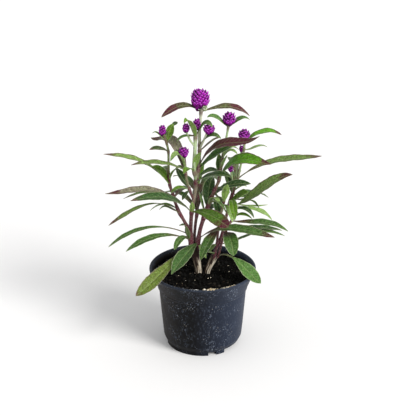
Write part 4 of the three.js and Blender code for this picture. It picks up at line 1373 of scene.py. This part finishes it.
# radius and height, from the middle of the base up the outside, over the lip and down the inside
potProfile = [
    (0.3, 0), (34, 0), (36, 4.4), (42, 4.4), (44.6, 10), (46.5, 28), (49.45, 66.4), (49.75, 67.6), (51, 69.1),
    (51.05, 70.6), (54.6, 79.4), (57.9, 87.9), (58.6, 88.7), (59.6, 88.95), (60, 89.8), (60, 91.1),
    (59.2, 92), (57.6, 91.5), (56.7, 90.2), (56.4, 89.2), (49.75, 70.6), (48.4, 67.4), (43.4, 10.4),
    (40.8, 5.6), (34.8, 5.6), (32.8, 1.2), (0.3, 1.2),
]

potPaint = {
    "dust": "#19120d",
    "plain": "#050507",
    # the colour of the painted reflection of the window on the pot's right side
    "blue": "#262e3f",
    "rub": "#5d6676",
    "spot": "#b0aaa0",
    "fleck": "#a3adbd",
    # a painted highlight along the rolled lip
    "lip": "#343c4a",
    # painted shade: the colour of the inside wall below the lip
    "insideShade": "#0d0b0a",
    "dustAcross": (-50, -25),  # from brown dust on the left to plain black
    "reflectionAcross": (-10, 45),  # from plain black to a painted blue-grey reflection of the window on the right
    "collarHeights": (62, 80),  # between which flecks grow thicker
    "lipHighlightHeights": (88.2, 90.5),
    "rubSize": 1.92,
    "rubStretch": 0.45,  # drag marks are this much as dense up the wall as around it
    "fieldSize": 16.7,  # of the fields in which marks gather
    "spotSpacing": 3.85,
    "fleckSize": 1.61,
    "reliefDepth": 0.4,
}


def thermoformedPolypropylene():
    # Black polypropylene, thermoformed: satin with drag marks, rubbed grey, dried dust, water spots; painted
    # reflection, highlight and shade.
    material, tree = startMaterial("thermoformedPolypropylene")
    where = addNode(tree, "TexCoord", {}).outputs["Object"]
    across, _, height = addNode(tree, "SeparateXYZ", [where]).outputs
    # the inside wall, darkened as painted shade
    blush = addNode(tree, "Attribute", {}, attribute_name="blush")
    insideShade, _, _ = addNode(tree, "SeparateXYZ", [blush]).outputs
    dusted = addNode(tree, "MapRange", [across, *inMetres(potPaint["dustAcross"])])
    # painted reflection: blue-grey on the right side, towards the window
    paintedReflection = addNode(tree, "MapRange", [across, *inMetres(potPaint["reflectionAcross"])])
    # painted highlight: a paler blue-grey band along the rolled lip
    lip = addNode(tree, "MapRange", [height, *inMetres(potPaint["lipHighlightHeights"]), 0, 0.45])

    # drag marks, long up the wall, and dried spots and flecks, all thicker in some fields than in others
    wiped = addNode(tree, "VectorMath", [where, (1, 1, potPaint["rubStretch"])], operation="MULTIPLY")
    patterns = {}
    finenesses = {"rub": (wiped, 6, 0.8), "field": (where, 3, 0.5), "fleck": (where, 3, 0.6)}
    for name, (vector, detail, roughness) in finenesses.items():
        scale = 1 / (potPaint[name + "Size"] * millimetre)
        noise = {"Vector": vector, "Scale": scale, "Detail": detail, "Roughness": roughness}
        patterns[name] = addNode(tree, "TexNoise", noise)
    scale = 1 / (potPaint["spotSpacing"] * millimetre)
    spots = addNode(tree, "TexVoronoi", {"Vector": where, "Scale": scale})
    collar = addNode(tree, "MapRange", [height, *inMetres(potPaint["collarHeights"]), 0, 0.03])
    flecks = addNode(tree, "Math", [patterns["fleck"], collar], operation="ADD")
    layers = [(dusted, "plain"), (paintedReflection, "blue")]
    for name, pattern, shown, gathered in (
        ("rub", patterns["rub"], (0.53, 0.64, 0, 0.8), (0.38, 0.66, 0.15, 1)),
        ("spot", spots, (0.05, 0.15, 0.6, 0), (0.46, 0.58, 0, 1)),
        ("fleck", flecks, (0.63, 0.7, 0, 0.8), (0.47, 0.62, 0.05, 1)),
    ):
        mark = addNode(tree, "MapRange", [pattern, *shown])
        field = addNode(tree, "MapRange", [patterns["field"], *gathered])
        layers.append((addNode(tree, "Math", [mark, field], operation="MULTIPLY"), name))

    colour = linear(potPaint["dust"])
    for share, name in layers + [(lip, "lip"), (insideShade, "insideShade")]:
        colour = addNode(tree, "Mix", [share, colour, linear(potPaint[name])], data_type="RGBA")
    raised = {"Strength": 0.5, "Distance": potPaint["reliefDepth"] * millimetre, "Height": patterns["rub"]}
    return finishMaterial(
        material,
        {
            "Base Color": colour,
            "Normal": addNode(tree, "Bump", raised),
            "Roughness": addNode(tree, "MapRange", [patterns["rub"], 0.3, 0.7, 0.38, 0.62]),
            # less reflection where the inside wall is painted with shade
            "Specular IOR Level": addNode(tree, "MapRange", [insideShade, 0, 1, 0.12, 0.02]),
            "IOR": 1.49,
        },
    )


def roundedProfile(profile, radius):  # each corner swapped for four points of a short round
    points = np.array(profile, float)
    rounded = [points[0]]
    for before, corner, after in zip(points[:-2], points[1:-1], points[2:]):
        reachBefore = min(radius, 0.4 * np.linalg.norm(corner - before))
        reachAfter = min(radius, 0.4 * np.linalg.norm(after - corner))
        start = corner + unit(before - corner) * reachBefore
        end = corner + unit(after - corner) * reachAfter
        for s in (0, 0.33, 0.67, 1):
            rounded.append((1 - s) ** 2 * start + 2 * s * (1 - s) * corner + s**2 * end)
    return np.array(rounded + [points[-1]])


def footBody(start, end):  # a curved wall between two angles, its top sunk in the pot's base
    count = max(3, round((end - start) / potShape["footStep"]))
    angles = np.radians(np.linspace(start, end, count))
    inner, outer, top = potShape["footIn"], potShape["footOut"], potShape["footTop"]
    edge, flare = potShape["footEdge"], potShape["footFlare"]
    section = [(inner, edge), (inner + edge, 0), (outer - edge, 0), (outer, edge)]
    section += [(outer + flare, top), (inner - flare, top)]
    points = np.array([(r * math.cos(a), r * math.sin(a), z) for a in angles for r, z in section])
    return body(points, outward(points, tubeFaces(count, len(section))))


def plainObject(name, points, faces):
    mesh = bpy.data.meshes.new(name)
    mesh.from_pydata(points.tolist(), [], faces)
    shape = bpy.data.objects.new(name, mesh)
    bpy.context.scene.collection.objects.link(shape)
    return shape


def drillBits():
    # one upright drill for the drain hole in each gap between the feet
    points, faces = [], []
    sides = potShape["drainSides"]
    turns = np.linspace(0, fullTurn, sides, endpoint=False)
    spans = potShape["footSpans"]
    ahead = spans[1:] + [(spans[0][0] + 360, 0)]
    for k, (span, following) in enumerate(zip(spans, ahead)):
        middle = math.radians((span[1] + following[0]) / 2)
        x = potShape["drainRing"] * math.cos(middle) + potShape["drainRadius"] * np.cos(turns)
        y = potShape["drainRing"] * math.sin(middle) + potShape["drainRadius"] * np.sin(turns)
        bit = gridOf((2, sides), x, y, np.array(potShape["drainFrom"])[:, None])
        faces += [[corner + len(bit) * k for corner in face] for face in outward(bit, tubeFaces(2, sides))]
        points.append(bit)
    return plainObject("drill_bits", np.concatenate(points), faces)


def drilled(solid, bits):  # the same body with the drain holes cut through it
    shape = plainObject("undrilled", solid["points"], solid["faces"])
    cut = shape.modifiers.new("drain_holes", "BOOLEAN")
    cut.operation = "DIFFERENCE"
    cut.solver = "EXACT"
    cut.object = bits
    result = shape.evaluated_get(bpy.context.evaluated_depsgraph_get()).to_mesh()
    points = np.array([vertex.co[:] for vertex in result.vertices])
    faces = [list(face.vertices) for face in result.polygons]
    known = KDTree(len(solid["points"]))
    for order, point in enumerate(solid["points"]):
        known.insert(point, order)
    known.balance()
    blush = solid["blush"][[known.find(point)[1] for point in points]]
    bpy.data.objects.remove(shape)
    return body(points, faces, blush=blush)


def potBodies():
    profile = roundedProfile(potProfile, potShape["cornerRound"])
    dense = [profile[0]]
    for a, b in zip(profile[:-1], profile[1:]):
        parts = max(1, round(np.linalg.norm(b - a) / potShape["ringStep"]))
        dense += [a + (b - a) * k / parts for k in range(1, parts + 1)]
    dense = np.array(dense)
    angle = np.linspace(0, fullTurn, potShape["around"], endpoint=False)
    r, z = dense[:, :1], dense[:, 1:]
    # handling has left the thin wall a little out of round between its base and its lip
    slack = np.interp(z, potShape["slackHeights"], [0, 1, 1, 0])
    dents = sum(depth * np.sin(n * angle + phase + z * drift) for n, depth, phase, drift in potShape["dents"])
    reach = r + (dents - potShape["pushedIn"]) * slack
    points = gridOf(reach.shape, reach * np.cos(angle), reach * np.sin(angle), z)
    faces = outward(points, tubeFaces(len(dense), potShape["around"]))
    onInside = np.arange(len(dense)) > dense[:, 1].argmax()  # beyond the lip
    # painted shade down the inside wall, fading in below the lip
    inside = np.clip((potShape["insideShadeTop"] - dense[:, 1]) / potShape["insideShadeFade"], 0, 1) * onInside
    insideShade = np.repeat(inside, potShape["around"])[:, None] * [1, 0, 0]
    bits = drillBits()
    solids = [body(points, faces, blush=insideShade)] + [footBody(*span) for span in potShape["footSpans"]]
    solids = [drilled(solid, bits) for solid in solids]
    bpy.data.objects.remove(bits)
    return solids


addPiece("pot_shell", potBodies(), [thermoformedPolypropylene()], ["pot"], 35)


# Crumbs on the lip

crumbShape = {
    "lipRadius": 58.3,
    "lipTop": 92,
    "mostRadius": 59.2,
    "sunk": 0.15,
    "inwardSlope": 0.9,  # how fast the lip falls towards the inside
}

crumbPattern = {
    "size": 1.43,
    "detail": 4,
    "roughness": 0.5,
    "contrast": (0.3, 0.7, 0.7, 1.2),
    "strength": 0.6,
    "depth": 0.3,
}

# groups of crumbs on the lip: from and to in degrees (the front middle is -90), count, largest size, tones
crumbGroups = [
    (-104, -91, 16, 0.6, ["#e9e8e4", "#cfd2d8"]),
    (-89, -76, 80, 1.35, ["#d8ccb2", "#b9a98a", "#efe9dc", "#8d7b60"]),
    (-76, -48, 75, 0.75, ["#c9bb9c", "#a8977a", "#e2dac8"]),
    (-130, -104, 8, 0.4, ["#a8977a", "#cfd2d8"]),
]


def driedCrumbs():
    # Dry peat and bark crumbs: pale tan, matt and rough.
    return crumbly("driedCrumbs", crumbPattern, {"Roughness": 0.95, "Specular IOR Level": 0.2})


def crumbBodies():
    random = np.random.default_rng(900)
    bodies = []
    for start, end, count, largest, tones in crumbGroups:
        for _ in range(count):  # half lie anywhere in the group, and half near its middle
            if random.random() < 0.5:
                degrees = random.uniform(start, end)
            else:
                degrees = random.normal((start + end) / 2, (end - start) / 6)
            radius = min(crumbShape["lipRadius"] + random.normal(-0.5, 0.9), crumbShape["mostRadius"])
            size = random.uniform(0.2, largest)
            inward = max(0, crumbShape["lipRadius"] - 0.5 - radius)
            height = crumbShape["lipTop"] - crumbShape["sunk"] - inward * crumbShape["inwardSlope"]
            turn = math.radians(degrees)
            middle = np.array([radius * math.cos(turn), radius * math.sin(turn), height])
            tone = linear(tones[random.integers(len(tones))])
            bodies.append(lump(middle, size * random.uniform(0.5, 1.3, 3) * [1, 1, 0.5], random, tone, 0.3))
    return bodies


addPiece("lip_crumbs", crumbBodies(), [driedCrumbs()], [], 80)
